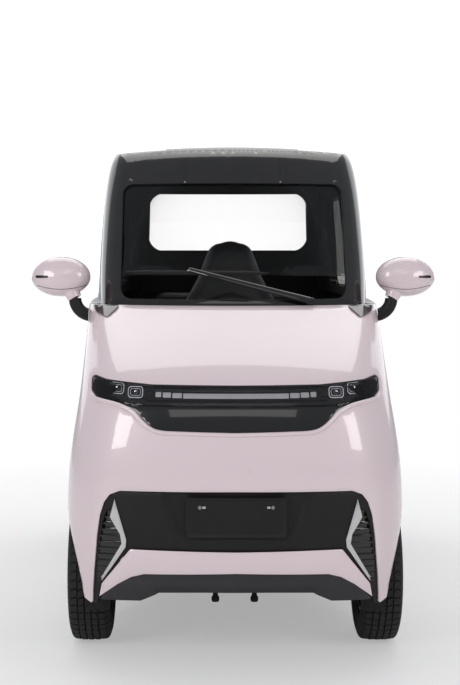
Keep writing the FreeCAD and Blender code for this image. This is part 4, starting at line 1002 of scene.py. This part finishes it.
# finish and lining
shellFinish = {
    "rear_body": ("paint", "cabinPlastic"), "rear_bumper": ("satinBlack",), "tail_lamps": ("redLens", "cabinPlastic"),
    "sills": ("paint", "tubSteel"), "upper_frame": ("glossBlack", "headLining"),
    "roof_panel": ("glossBlack", "headLining"), "fixed_glass": ("windowGlass",),
    "tailgate_panel": ("paint", "cabinPlastic"), "tailgate_glass": ("windowGlass",),
}
for part, used in (("door_panel_", ("paint", "cabinPlastic")), ("door_frame_", ("glossBlack", "cabinPlastic")),
                   ("door_glass_", ("windowGlass",))):
    for side in ("left", "right"):
        shellFinish[part + side] = used
for name, used in shellFinish.items():
    onForm(name, *used)
print("body shell shaded")


# Rings of repeated pieces

class Ring(Nodes):
    # a node tree that turns copies of a piece about the X axis
    def __init__(self, name):
        super().__init__(bpy.data.node_groups.new(name, "GeometryNodeTree"))
        face = self.tree.interface
        for label, kind in (("Piece", "Geometry"), ("Count", "Int"), ("Centre", "Vector"), ("Jitter", "Float"),
                            ("Finish", "Material")):
            face.new_socket(label, in_out="INPUT", socket_type="NodeSocket" + kind)
        face.new_socket("Made", in_out="OUTPUT", socket_type="NodeSocketGeometry")
        piece, count, centre, jitter, finish = (self.add("NodeGroupInput", output=k) for k in range(5))
        index = self.add("GeometryNodeInputIndex")
        wobble = self.add("FunctionNodeRandomValue", {"data_type": "FLOAT"}, {"Seed": 7}, 1) - 0.5
        turn = (index + wobble * jitter) * (2 * math.pi) / count
        points = self.add("GeometryNodePoints", None, {"Count": count})
        angles = self.add("CombineXYZ", None, {"X": turn})
        copies = self.add("GeometryNodeInstanceOnPoints", None, {"Points": points, "Instance": piece, "Rotation": angles})
        real = self.add("GeometryNodeRealizeInstances", None, {0: copies})
        placed = self.add("GeometryNodeTransform", None, {"Geometry": real, "Translation": centre})
        done = self.add("GeometryNodeSetMaterial", None, {"Geometry": placed, "Material": finish})
        self.add("NodeGroupOutput", None, {0: done})

    def run(self, name, piece, count, centre, finish, body, jitter=0.0):
        # piece is verts and faces in millimetres, round the X axis; centre is in millimetres
        obj = linked(name + "_source", rawMesh(name, *piece))
        turned = obj.modifiers.new("Ring", "NODES")
        turned.node_group = self.tree
        given = {"Count": count, "Centre": [c * mm for c in centre], "Jitter": jitter, "Finish": finishes[finish]}
        for item in self.tree.interface.items_tree:
            if item.name in given:
                turned[item.identifier] = given[item.name]
        done = applied(obj)
        bpy.data.objects.remove(obj)
        return finishPiece(name, done, finish, body, 30.0)


ring = Ring("turnedCopies")


# Wheels

tyreSettings = {
    "pitches": 54, "base": 239.0, "turns": 96, "jitter": 0.06, "flatHalf": 44.0, "drop": 0.28, "chamfer": 0.9,
    # blocks of one pitch: from and to across the tread, length as a share of the pitch, slant in mm, top radius
    "blocks": [(-8, 8, 0.90, 0.0, 246.8), (12.5, 29.5, 0.84, 7.0, 246.4), (-29.5, -12.5, 0.84, -7.0, 246.4),
               (34, 52.5, 0.80, 3.0, 245.0), (-52.5, -34, 0.80, -3.0, 245.0)],
    # shoulder lugs: length and place as shares of the pitch, then across and radius of their skin and their foot
    "lug": (0.30, 0.25),
    "lugSkin": [(54.0, 241.4), (57.5, 238.6), (61.0, 232.6), (63.0, 226.5)],
    "lugFoot": [(52.0, 236.0), (55.0, 234.0), (58.5, 229.0), (62.0, 224.5)],
    "lugFaces": [(0, 1, 3, 2), (2, 3, 5, 4), (4, 5, 7, 6), (0, 2, 10, 8), (2, 4, 12, 10), (4, 6, 14, 12),
                 (1, 9, 11, 3), (3, 11, 13, 5), (5, 13, 15, 7), (0, 8, 9, 1), (6, 7, 15, 14)],
    # across from the middle, radius: tread edge, shoulder, sidewall with its rings, bead
    "half": [(0, 239), (31, 239), (50, 238.4), (54, 237.6), (58, 234.5), (61.5, 229.5), (63.8, 223), (64.6, 219.5),
             (65.5, 219), (65.6, 217), (64.9, 216.2), (65.6, 209), (65.9, 204), (66.0, 200), (65.6, 196.4), (66.0, 196),
             (66.0, 193.4), (65.5, 193), (64.6, 187), (63.2, 181), (62.6, 180.4), (62.4, 178.6), (62.0, 178), (59.5, 171),
             (57.2, 166), (58.4, 164.6), (58.2, 161), (56.0, 158.6), (51.5, 156.0), (49.0, 152.6), (44, 152.3)],
    "nut": [(0.0, 0.0), (0.0, 9.5), (6.0, 9.0), (13.0, 8.6), (15.0, 6.5), (15.5, 0.0)], "nutFace": 6.0, "nutRing": 38.0,
    "valve": [(30.0, 0.0, 138.0), (36.0, 0.0, 134.0), (48.0, 0.0, 131.0)],
}


def onTread(across, radius, turn):
    return across, radius * math.sin(turn), radius * math.cos(turn)


def treadBlock(s, low, high, length, slant, top, pitch):
    # one rubber block, its top edges chamfered, its sides splayed
    span = pitch * length / 2
    verts = []
    for radius, shrink in ((s["base"] - 1.0, -0.5), (top - 1.0, 0.0), (top, s["chamfer"])):
        for a, b, way in ((low + shrink, shrink - span, -1), (high - shrink, shrink - span, 1),
                          (high - shrink, span - shrink, 1), (low + shrink, span - shrink, -1)):
            fall = max(0.0, abs(a) - s["flatHalf"]) * s["drop"]
            verts.append(onTread(a, radius - fall, (b + slant * way / 2) / carSize["tyreRadius"]))
    return verts, quads(3, 4) + [(8, 9, 10, 11)]


def makeWheel(corner, x, y, body):
    s, radius = tyreSettings, carSize["tyreRadius"]
    side, hub = math.copysign(1.0, x), (x, y, radius)
    pitch = 2 * math.pi * radius / s["pitches"]
    blocks = [treadBlock(s, a, b, length, slant * side, top, pitch) for a, b, length, slant, top in s["blocks"]]
    long, place = s["lug"]
    for sign in (1.0, -1.0):
        # lugs that carry the tread over the shoulder
        lug = [onTread(sign * a, r, pitch * (place + share) / radius) for a, r in s["lugSkin"] + s["lugFoot"]
               for share in (-long / 2, long / 2)]
        blocks.append(outward(lug, s["lugFaces"]))
    tread = ring.run("tread_" + corner, outward(*joined(*blocks)), s["pitches"], hub, "tyreRubber", body, s["jitter"])

    def atHub(a, b, c):
        return x + a, y + b, radius + c

    carcass = lathe([(-a, r) for a, r in reversed(s["half"][1:])] + s["half"], s["turns"], 1.0, True)
    meshPiece("carcass_" + corner, *moved(carcass, atHub), "tyreRubber", body, 38.0, ("tyre_" + corner,))
    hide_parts("tyre_" + corner)
    carried("rim_" + corner, "castAlloy", 0.8, 30.0)
    nut = moved(lathe(s["nut"], 6, side), lambda a, b, c: (a + side * s["nutFace"], b, c + s["nutRing"]))
    ring.run("wheel_nuts_" + corner, outward(*nut), 4, hub, "bareSteel", body)
    stem = sweep([atHub(side * a, b, c) for a, b, c in s["valve"]], lambda t: 3.6 - 1.0 * t, 10)
    meshPiece("valve_" + corner, *stem, "rubberTrim", body)


for end, axle in (("front", carSize["frontAxle"]), ("rear", carSize["rearAxle"])):
    for name, side in sides:
        corner = end + "_" + name
        makeWheel(corner, side * carSize["halfTrack"], axle, "wheel_" + corner)
print("wheels made")


# Padded seats

padSettings = {"corner": 60.0, "step": 11.0, "crownReach": 110.0, "backShare": 0.9, "pressure": 4.0, "frames": 20,
               "cap": 12.0, "seamWide": 7.0, "seamDeep": 5.5, "fill": 0.8}


def padMesh(outline, thick, crown, bolster):
    # a closed crowned form over an outline; its sides pull in between the corners
    s = padSettings
    loop = roundedLoop(outline, s["corner"], s["step"])
    spots, faces = fillRegion(loop, [], s["step"])
    near, half = edgeDistance(spots, loop), thick / 2
    swell = np.sqrt(np.clip(1.0 - (1.0 - np.clip(near / half, 0, 1)) ** 2, 0, 1)) * half
    swell = swell + np.clip(near / s["crownReach"], 0, 1) ** 0.8 * crown
    dish = np.array([bolster(u, v) for u, v in spots])
    front = [(u, -rise + d, v) for (u, v), rise, d in zip(spots, swell, dish)]
    back = [(u, rise * s["backShare"] + d * 0.4, v) for (u, v), rise, d in zip(spots, swell, dish)]
    # front and back share the points of the rim
    number = [i if rim else len(spots) + i for i, rim in enumerate(near < 0.01)]
    tris = [tuple(int(i) for i in f) for f in faces]
    tris += [tuple(number[i] for i in reversed(f)) for f in tris]
    return outward(front + back, [f for f in tris if len(set(f)) == 3])


def coordinates(mesh):
    flat = np.empty(len(mesh.vertices) * 3)
    mesh.vertices.foreach_get("co", flat)
    return flat.reshape(-1, 3)


def swollen(obj, voxel):
    # remeshed evenly, inflated as cloth, with each point's travel capped, then smoothed
    even = obj.modifiers.new("Even", "REMESH")
    even.mode, even.voxel_size = "VOXEL", voxel * mm
    obj.data = mesh = applied(obj)
    start = coordinates(mesh)
    cloth = obj.modifiers.new("Cloth", "CLOTH")
    s = cloth.settings
    s.quality, s.mass = 4, 0.3
    s.tension_stiffness = s.compression_stiffness = 18.0
    s.shear_stiffness, s.bending_stiffness = 8.0, 0.8
    s.use_pressure, s.uniform_pressure_force = True, padSettings["pressure"]
    s.effector_weights.gravity = 0.0
    cloth.collision_settings.use_collision = False
    scene = bpy.context.scene
    for step in range(padSettings["frames"]):
        scene.frame_set(step + 1)
    end = coordinates(obj.evaluated_get(bpy.context.evaluated_depsgraph_get()).to_mesh())
    obj.modifiers.clear()
    scene.frame_set(1)
    move = end - start
    far = np.linalg.norm(move, axis=1, keepdims=True)
    move *= np.minimum(1.0, padSettings["cap"] * mm / np.maximum(far, 1e-9))
    mesh.vertices.foreach_set("co", (start + move).ravel())
    soft = obj.modifiers.new("Soft", "SMOOTH")
    soft.iterations, soft.factor = 4, 0.5
    return applied(obj)


def makePad(name, s):
    p = padSettings
    obj = linked(name + "_source", rawMesh(name, *padMesh(s["outline"], s["thick"], s["crown"], s["dish"])))
    mesh = swollen(obj, s["voxel"])
    spots = coordinates(mesh) / mm
    facing = np.clip(-spots[:, 1] / (s["thick"] * 0.3), 0, 1)
    for seam in s["seams"]:
        line = edgeDistance(spots[:, [0, 2]], seam, False)
        spots[:, 1] += np.exp(-(line / p["seamWide"]) ** 2) * p["seamDeep"] * facing
    turn = math.radians(s["tilt"])
    x, y, z = spots.T.copy()
    tilted = (x, y * math.cos(turn) - z * math.sin(turn), y * math.sin(turn) + z * math.cos(turn))
    spots = np.stack(tilted, 1) + np.array(s["at"])
    mesh.vertices.foreach_set("co", (spots * mm).ravel())
    mesh.update()
    made = finishPiece(name, mesh, "seatCover", "car_body", 180.0, s["replaced"])
    bpy.data.objects.remove(obj)


def ramp(value, start, width):
    return min(1.0, max(0.0, (value - start) / width))


def bucket(u, v):
    # the sides of the back stand forward
    return -26.0 * ramp(abs(u), 118.0, 70.0) ** 1.5 * (1.0 - ramp(v, 620.0, 110.0))


def bench(u, v):
    return 0.0


# outline (across, up), dish, seams, tilt, and the place of the outline's origin
seatTable = {
    "driver_cushion": {
        "outline": [(-205, 12), (205, 12), (224, 400), (-224, 400)], "thick": 92.0, "crown": 6.0,
        "dish": lambda u, v: -16.0 * ramp(abs(u), 120.0, 70.0), "voxel": 6.0, "tilt": -90.0,
        "at": (0.0, -306.0, 488.0), "replaced": ("driver_seat",),
        "seams": [[(-125, 30), (-135, 390)], [(125, 30), (135, 390)], [(-125, 95), (125, 95)],
                  [(-128, 170), (128, 170)], [(-130, 245), (130, 245)], [(-133, 320), (133, 320)]]},
    "driver_backrest": {
        "outline": [(-142, 70), (142, 70), (224, 130), (229, 555), (196, 680), (142, 780), (116, 850), (82, 918),
                    (0, 938), (-82, 918), (-116, 850), (-142, 780), (-196, 680), (-229, 555), (-224, 130)],
        "thick": 78.0, "crown": 5.0, "dish": bucket, "voxel": 6.0, "tilt": -10.0,
        "at": (0.0, 146.0, 431.0), "replaced": ("driver_seat",),
        "seams": [[(-124, 110), (-128, 540), (-96, 660)], [(124, 110), (128, 540), (96, 660)],
                  [(-126, 220), (126, 220)], [(-127, 320), (127, 320)], [(-128, 420), (128, 420)],
                  [(-128, 520), (128, 520)], [(-96, 660), (0, 690), (96, 660)]]},
    "rear_cushion": {
        "outline": [(-362, 8), (362, 8), (362, 410), (-362, 410)], "thick": 78.0, "crown": 5.0, "dish": bench,
        "voxel": 7.0, "tilt": -90.0, "at": (0.0, 446.0, 640.0), "replaced": ("rear_seat",),
        "seams": [[(0, 20), (0, 400)], [(-340, 200), (340, 200)]]},
    "rear_backrest": {
        "outline": [(-362, 8), (362, 8), (348, 458), (-348, 458)], "thick": 70.0, "crown": 4.0, "dish": bench,
        "voxel": 7.0, "tilt": -8.0, "at": (0.0, 812.0, 670.0), "replaced": ("rear_seat",),
        "seams": [[(0, 20), (0, 440)], [(-340, 150), (340, 150)], [(-340, 300), (340, 300)]]},
}
for name, s in seatTable.items():
    makePad(name, s)
    print("padded:", name)


# Cabin fittings

def caster(name):
    # rays onto a solid, in millimetres
    mesh = nodes[name].data
    tree = BVHTree.FromPolygons([v.co / mm for v in mesh.vertices], [tuple(p.vertices) for p in mesh.polygons])
    return lambda start, way: tree.ray_cast(Vector(start), Vector(way).normalized())[:2]


def tailPad(name, loop, finish, thick):
    # a thin raised patch on the tail lamps; the loop is (across, up), seen from behind
    s = {"start": 1500.0, "lift": 0.2, "step": 5.0, "bevel": 0.4}
    hit, along = caster("tail_lamps"), Vector((0, -1, 0))
    spots, faces = fillRegion(loop, [], s["step"])
    verts = []
    for u, v in spots:
        place, normal = hit((-u, s["start"], v), along)
        verts.append(tuple(place + normal * math.copysign(s["lift"] + thick, -normal.dot(along))))
    meshPiece(name, verts, turnedTo(verts, faces, -along), finish, "car_body", 35.0, (), s["bevel"], thick)


def makeCabin():
    s = {"matZ": 262.0, "rim": 3.0, "rimWide": 9.0, "pedalX": (-62.0, 34.0), "ribs": (338.0, 349.0, 360.0, 371.0),
         "screenZ": 1020.0, "screenY": -503.0, "screenLean": 0.2}
    mat = roundedLoop([(-330, -440), (330, -440), (360, -280), (360, 60), (-360, 60), (-360, -280)], 40.0, 20.0)
    spots, faces = fillRegion(mat, [], 24.0, [grownLoop(mat, -10.0)])
    rise = np.exp(-(edgeDistance(spots, mat) / s["rimWide"]) ** 2) * s["rim"]
    meshPiece("floor_mat", [(x, y, s["matZ"] + up) for (x, y), up in zip(spots, rise)], faces, "carpet", "car_body", 40.0,
              (), 1.0, 5.0)
    parts = []
    for x in s["pedalX"]:
        # brake and drive pedals on their arms
        parts.append(roundedBox(x - 24.0, x + 24.0, -600.0, -590.0, 330.0, 386.0, 3.0))
        parts.append(sweep([(x, -598.0, 360.0), (x, -640.0, 440.0), (x, -650.0, 560.0)], 7.0, 10))
        parts += [roundedBox(x - 20.0, x + 20.0, -589.6, -587.0, z, z + 5.0, 0.8) for z in s["ribs"]]
    meshPiece("pedals", *joined(*parts), "rubberTrim", smooth=35.0)
    flat = roundedBox(-118.0, 118.0, s["screenY"] - 5.0, s["screenY"] + 5.0, s["screenZ"], s["screenZ"] + 48.0, 4.0)
    screen = moved(flat, lambda x, y, z: (x, y - s["screenLean"] * (z - s["screenZ"]), z))
    meshPiece("instrument_screen", *screen, "lampBlack", smooth=35.0)


makeCabin()
print("cabin made")


# Window seals, wiper, mirrors and small trim

def sealOn(name, outline, corner, find, form, body, inset=3.5, radius=3.2):
    # a rubber bead along an outline; find turns a flat point into the run round the form
    path = [form.place(find(u, z), z, inset)[:2] + (z,) for u, z in roundedLoop(outline, corner, 12.0)]
    meshPiece(name, *sweep(path, radius, 6, True), "rubberTrim", body, 60.0)


def makeSeals():
    d, form, depth = doorTable, upperForm, 3.5
    belt, tail = carSize["belt"], carSize["length"] / 2
    slope = d["pillar"] / (d["top"] - belt)
    front, rear, low, high = d["front"] - d["lean"] + 62.0, d["rear"] - 42.0, belt + 22.0, d["top"] - 38.0
    door = [(front, low), (front + slope * (high - low), high), (rear, high), (rear, low)]
    start, foot, head = d["rear"] + 65.0, belt + 36.0, d["top"] - 20.0
    quarter = [(start, foot), (tail - 300.0, foot), (tail - 350.0, head), (start, head)]
    w, foot, head = carSize["halfWidth"] - 151.0, belt + 18.0, d["top"] - 1.0
    screen = [(-w + 8.0, foot), (w - 8.0, foot), (w, head), (-w, head)]
    gate = [(-369.0, 1300.0), (369.0, 1300.0), (359.0, 1564.0), (-359.0, 1564.0)]
    sealOn("screen_seal", screen, 40.0, lambda u, z: form.noseX(u, z, depth), form, "car_body")
    for name, side in sides:
        def find(u, z):
            return form.flankY(u, z, side, depth)

        sealOn("door_seal_" + name, door, 35.0, find, form, "door_" + name, radius=2.8)
        sealOn("quarter_seal_" + name, quarter, 50.0, find, form, "car_body")
    sealOn("gate_window_seal", gate, 50.0, lambda u, z: form.tailX(u, z, depth), form, "tailgate")


def makeGateFlange():
    # the body's flange and rubber behind the tailgate's edge: name, depth, radius, finish
    loop = roundedLoop(corners(-409.0, 409.0, 596.0, 1600.0), 55.0, 16.0)
    for name, depth, radius, finish in (("gate_flange", 26.0, 10.0, "tubSteel"),
                                        ("gate_rubber", 22.0, 5.0, "rubberTrim")):
        path = []
        for x, z in loop:
            form, inset = (lowerForm, depth + 12.0) if z < carSize["belt"] else (upperForm, depth)
            path.append(form.place(form.tailX(x, z, inset), z, inset)[:2] + (z,))
        meshPiece(name, *sweep(path, radius, 8, True, 0.45, (0, 1, 0)), finish, smooth=60.0)


def makeWiper():
    # places are across and over the belt; heights over the glass come last
    s = {"pivot": (263.0, 15.0), "elbow": (-155.0, 124.0), "blade": ((-377.0, 112.0), (120.0, 109.0)),
         "hook": ((-150.0, 123.0, 18.0), (-156.0, 119.0, 16.0), (-156.0, 112.0, 11.0)),
         "cap": [(0.0, 0.0), (0.0, 13.0), (10.0, 14.0), (16.0, 11.0), (18.0, 0.0)]}

    def onGlass(x, z, out):
        return upperForm.onNose(x, carSize["belt"] + z, -out)

    def line(ends, count):
        (x0, z0), (x1, z1) = ends
        return [(x0 + (x1 - x0) * k / count, z0 + (z1 - z0) * k / count, k / count) for k in range(count + 1)]

    arm = sweep([onGlass(x, z, 22.0 - 4.0 * t) for x, z, t in line((s["pivot"], s["elbow"]), 24)],
                lambda t: 14.0 - 7.5 * t, 10, False, 0.42, (0, -1, 0.6))
    hook = sweep([onGlass(*p) for p in s["hook"]], 4.6, 8)
    x, y, z = onGlass(*s["pivot"], 6.0)
    cap = moved(lathe(s["cap"], 20), lambda a, b, c: (x + b, y - a, z + c))
    meshPiece("wiper_arm", *joined(arm, hook, outward(*cap)), "glossBlack", "car_body", 40.0, ("wiper",))
    points = line(s["blade"], 40)
    blade = sweep([onGlass(x, z, 9.0) for x, z, t in points],
                  lambda t: 3.0 + 6.0 * min(1.0, 8.0 * t, 8.0 * (1.0 - t)), 8, False, 0.5, (0, -1, 0.5))
    lip = sweep([onGlass(x, z - 3.0, 3.2) for x, z, t in points], 2.2, 6)
    meshPiece("wiper_blade", *joined(blade, lip), "rubberTrim", "car_body", 40.0, ("wiper",))


def makeMirrors():
    s = {"centre": (carSize["halfWidth"] + 55.0, -530.0, 1210.0), "glass": (84.0, 56.0, 30.6), "rim": (31.0, 2.4),
         "slit": [(648, 1214), (690, 1215), (697, 1210), (690, 1205), (648, 1206)], "slitLift": 0.9,
         "crease": (-92.0, 176.0, -30.0, -14.0), "creaseLift": 0.15, "rayY": -800.0}
    hit, (cx, cy, cz) = caster("mirror_housings"), s["centre"]
    for name, side in sides:
        slit = [(side * x, z) for x, z in s["slit"]][::int(side)]
        spots, faces = fillRegion(roundedLoop(slit, 3.0, 4.0), [], 5.0)
        verts = [tuple(hit((u, s["rayY"], v), (0, 1, 0))[0] - Vector((0, s["slitLift"], 0))) for u, v in spots]
        meshPiece("mirror_lamp_" + name, verts, turnedTo(verts, faces, (0, -1, 0)), "lampBlack", "car_body", 35.0, (),
                  None, 1.4)
        start, long, low, sag = s["crease"]
        line = []
        for t in (k / 32 for k in range(33)):
            spot = side * (cx + start + long * t), s["rayY"], cz + low + sag * math.sin(math.pi * t)
            place, normal = hit(spot, (0, 1, 0))
            if place is not None:
                line.append(tuple(place + normal * math.copysign(s["creaseLift"], -normal.y)))
        meshPiece("mirror_crease_" + name, *sweep(line, 0.9, 6), "satinBlack", smooth=60.0)
        wide, high, back = s["glass"]
        loop = [(side * cx + wide * c, cz + high * e) for c, e in circlePoints(48)]
        spots, faces = fillRegion(loop, [], 9.0)
        verts = [(u, cy + back, v) for u, v in spots]
        meshPiece("mirror_glass_" + name, verts, turnedTo(verts, faces, (0, 1, 0)), "mirrorGlass", "car_body", 35.0, (),
                  None, -1.2)
        rim = sweep([(u, cy + s["rim"][0], v) for u, v in loop], s["rim"][1], 8, True)
        meshPiece("mirror_rim_" + name, *rim, "satinBlack", smooth=60.0)


def makeLiners():
    # inner linings of the front wheel arches, clear of the steered tyre, with faint ribs
    s = {"z": 255.0, "radius": 270.0, "inner": 400.0, "wall": 11.0, "least": 152.0, "sweep": (-112.0, 224.0), "rows": 49,
         "across": 9, "rib": 1.2, "ribWide": 6.0}
    for name, side in sides:
        verts = []
        for k in range(s["rows"]):
            turn = math.radians(s["sweep"][0] + s["sweep"][1] * k / (s["rows"] - 1))
            y, z = carSize["frontAxle"] + s["radius"] * math.sin(turn), s["z"] + s["radius"] * math.cos(turn)
            level = max(z, s["least"])
            outer = abs(lowerForm.place(lowerForm.flankY(y, level), level)[0]) - s["wall"]
            for i in range(s["across"]):
                x = s["inner"] + (outer - s["inner"]) * i / (s["across"] - 1)
                rib = s["rib"] * math.sin(x / s["ribWide"])
                verts.append((side * x, y + rib * math.sin(turn), z + rib * math.cos(turn)))
        faces = [f[::int(side)] for f in quads(s["rows"], s["across"], False)]
        meshPiece("arch_liner_" + name, verts, faces, "satinBlack", "car_body", 40.0, (), None, 2.5)


def makeTrim():
    s = {"plugX": (-64.0, 61.0), "plugAt": (-984.0, 176.0), "studX": (-173.0, 173.0), "studZ": 1549.0,
         "plug": [(0.0, 0.0), (0.0, 11.0), (5.0, 12.5), (14.0, 12.5), (19.0, 9.0), (30.0, 7.0), (34.0, 7.0), (34.0, 0.0)],
         "stud": [(0.0, 0.0), (0.0, 4.0), (-1.4, 3.2), (-2.0, 0.0)], "marks": ((-374.0, 1567.0), (378.0, 1562.0))}
    knob, (y, z) = lathe(s["plug"], 20), s["plugAt"]
    plugs = [moved(knob, lambda a, b, c: (x + b, y + c, z + a)) for x in s["plugX"]]
    meshPiece("tow_plugs", *outward(*joined(*plugs)), "rubberTrim", smooth=40.0)
    stud, dots = lathe(s["stud"], 12), []
    for x in s["studX"]:
        px, py, pz = upperForm.onNose(x, s["studZ"], 0.4)
        dots.append(moved(stud, lambda a, b, c: (px + 0.9 * b, py + 0.7 * a - 1.0, pz + 0.9 * c)))
    for x, z in s["marks"]:
        side = math.copysign(1.0, x)
        dots.append(sweep([upperForm.onNose(x + side * k, z - 1.6 * abs(k)) for k in (-7.0, -3.0, 1.0, 5.0)], 1.3, 6))
    meshPiece("header_studs", *outward(*joined(*dots)), "bareSteel", smooth=40.0)


def makeTailLamps():
    # sections on the red lens's face, ribs, and a dark bezel round it; widths are measured from the middle
    s = {"inner": 452.0, "parts": (("reverse", 706.0, 738.0, "haloRing"), ("turn", 746.0, 782.0, "amberLens")),
         "ribs": (5, 804.0, 23.0, 8.0), "bezel": (438.0, 523.0, 694.0, 926.0, 1.5)}
    count, first, spacing, high = s["ribs"]
    x0, x1, z0, z1, inset = s["bezel"]
    for name, side in (("left", -1.0), ("right", 1.0)):
        for part, low, top, finish in s["parts"]:
            loop = roundedLoop(corners(side * s["inner"], side * 508.0, low, top), 8.0, 5.0)
            tailPad(part + "_lamp_" + name, loop, finish, 1.0)
        for k in range(count):
            z = first + spacing * k
            loop = roundedLoop(corners(side * s["inner"], side * 510.0, z, z + high), 3.0, 5.0)
            tailPad("lamp_rib_%s_%d" % (name, k), loop, "redLens", 1.6)
        sealOn("tail_lamp_bezel_" + name, corners(-side * x0, -side * x1, z0, z1), 30.0,
               lambda u, z: lowerForm.tailX(u, z, inset), lowerForm, "car_body", inset, 2.6)


for make in (makeSeals, makeTailLamps, makeGateFlange, makeWiper, makeMirrors, makeTrim, makeLiners):
    make()
print("trim made")


# Stage, lights and camera

def makeStage():
    s = {"half": 60.0, "clear": 1.2, "fade": 0.45, "near": 0.38}
    floor = linked("studio_floor", bpy.data.meshes.new("studio_floor"))
    floor.data.from_pydata([(x, y, 0.0) for x, y in corners(-s["half"], s["half"], -s["half"], s["half"])], [],
                           [(0, 1, 2, 3)])
    f = Finish("floorWhite")
    colour = f.blend(f.noise(3.0), (0.80, 0.80, 0.80, 1.0), (0.82, 0.82, 0.82, 1.0))
    plain = f.add("BsdfPrincipled", None, {"Base Color": colour, "Roughness": 0.7, "Specular IOR Level": 0.2})
    white = f.add("Emission", None, {"Color": (1.0, 1.0, 1.0, 1.0), "Strength": 1.0})
    across, along = f.axis("X"), f.axis("Y")
    fade = (((across * across + along * along) ** 0.5 - s["clear"]) * s["fade"]).clamp()
    # the camera sees the floor turn white away from the car
    seen = f.add("LightPath", output="Is Camera Ray") * (fade * (1.0 - s["near"]) + s["near"])
    floor.data.materials.append(f.end(f.add("MixShader", None, {0: seen, 1: plain, 2: white})))

    world = bpy.data.worlds.new("studio")
    bpy.context.scene.world = world
    world.use_nodes = True
    sky = Nodes(world.node_tree)
    straight, through = (sky.add("LightPath", output="Is %s Ray" % kind) for kind in ("Camera", "Transmission"))
    seen = straight.calc("MAXIMUM", through)
    soft = sky.add("Background", None, {"Color": (0.92, 0.95, 1.0, 1.0), "Strength": 0.42})
    white = sky.add("Background", None, {"Color": (1.0, 1.0, 1.0, 1.0), "Strength": 1.2})
    sky.add("OutputWorld", None, {0: sky.add("MixShader", None, {0: seen, 1: soft, 2: white})})

    # name: place, aim, size, power, colour
    lamps = {
        "ceiling": ((0.0, 1.7, 4.4), (0.0, 1.5, 0.0), (4.4, 3.4), 92.0, (1.0, 0.99, 0.97)),
        "front_left": ((-3.4, -4.6, 2.4), (0.0, -0.3, 0.8), (1.7, 2.2), 72.0, (1.0, 0.995, 0.98)),
        "front_right": ((3.6, -4.2, 2.2), (0.0, -0.3, 0.8), (1.5, 2.0), 50.0, (1.0, 0.98, 0.96)),
        "front_high": ((0.0, -7.2, 4.8), (0.0, -0.8, 0.6), (5.2, 1.8), 36.0, (1.0, 0.99, 0.98)),
        "rear_left": ((-3.6, 4.6, 3.0), (0.0, 0.4, 0.9), (5.2, 4.2), 70.0, (0.97, 0.98, 1.0)),
        "rear_right": ((3.6, 4.6, 3.0), (0.0, 0.4, 0.9), (5.2, 4.2), 70.0, (0.97, 0.98, 1.0)),
    }
    for name, (place, aim, (wide, high), power, colour) in lamps.items():
        light = bpy.data.lights.new(name, "AREA")
        light.shape, light.size, light.size_y, light.energy, light.color = "RECTANGLE", wide, high, power, colour
        obj = linked(name, light)
        obj.location = place
        obj.rotation_euler = (Vector(aim) - Vector(place)).to_track_quat("-Z", "Y").to_euler()


def makeCamera():
    data = bpy.data.cameras.new("camera")
    data.lens, data.sensor_width, data.sensor_fit = 73.63, 36.0, "AUTO"
    data.shift_x, data.shift_y = 0.0277, -0.1336
    data.clip_start, data.clip_end = 0.05, 100.0
    camera = linked("camera", data)
    camera.location = (-0.078, -5.48, 1.30)
    camera.rotation_euler = (math.radians(90.0), 0.0, 0.0)
    bpy.context.scene.camera = camera


bpy.context.scene.view_settings.view_transform = "Standard"
makeStage()
makeCamera()
bpy.context.view_layer.update()
print("finished")
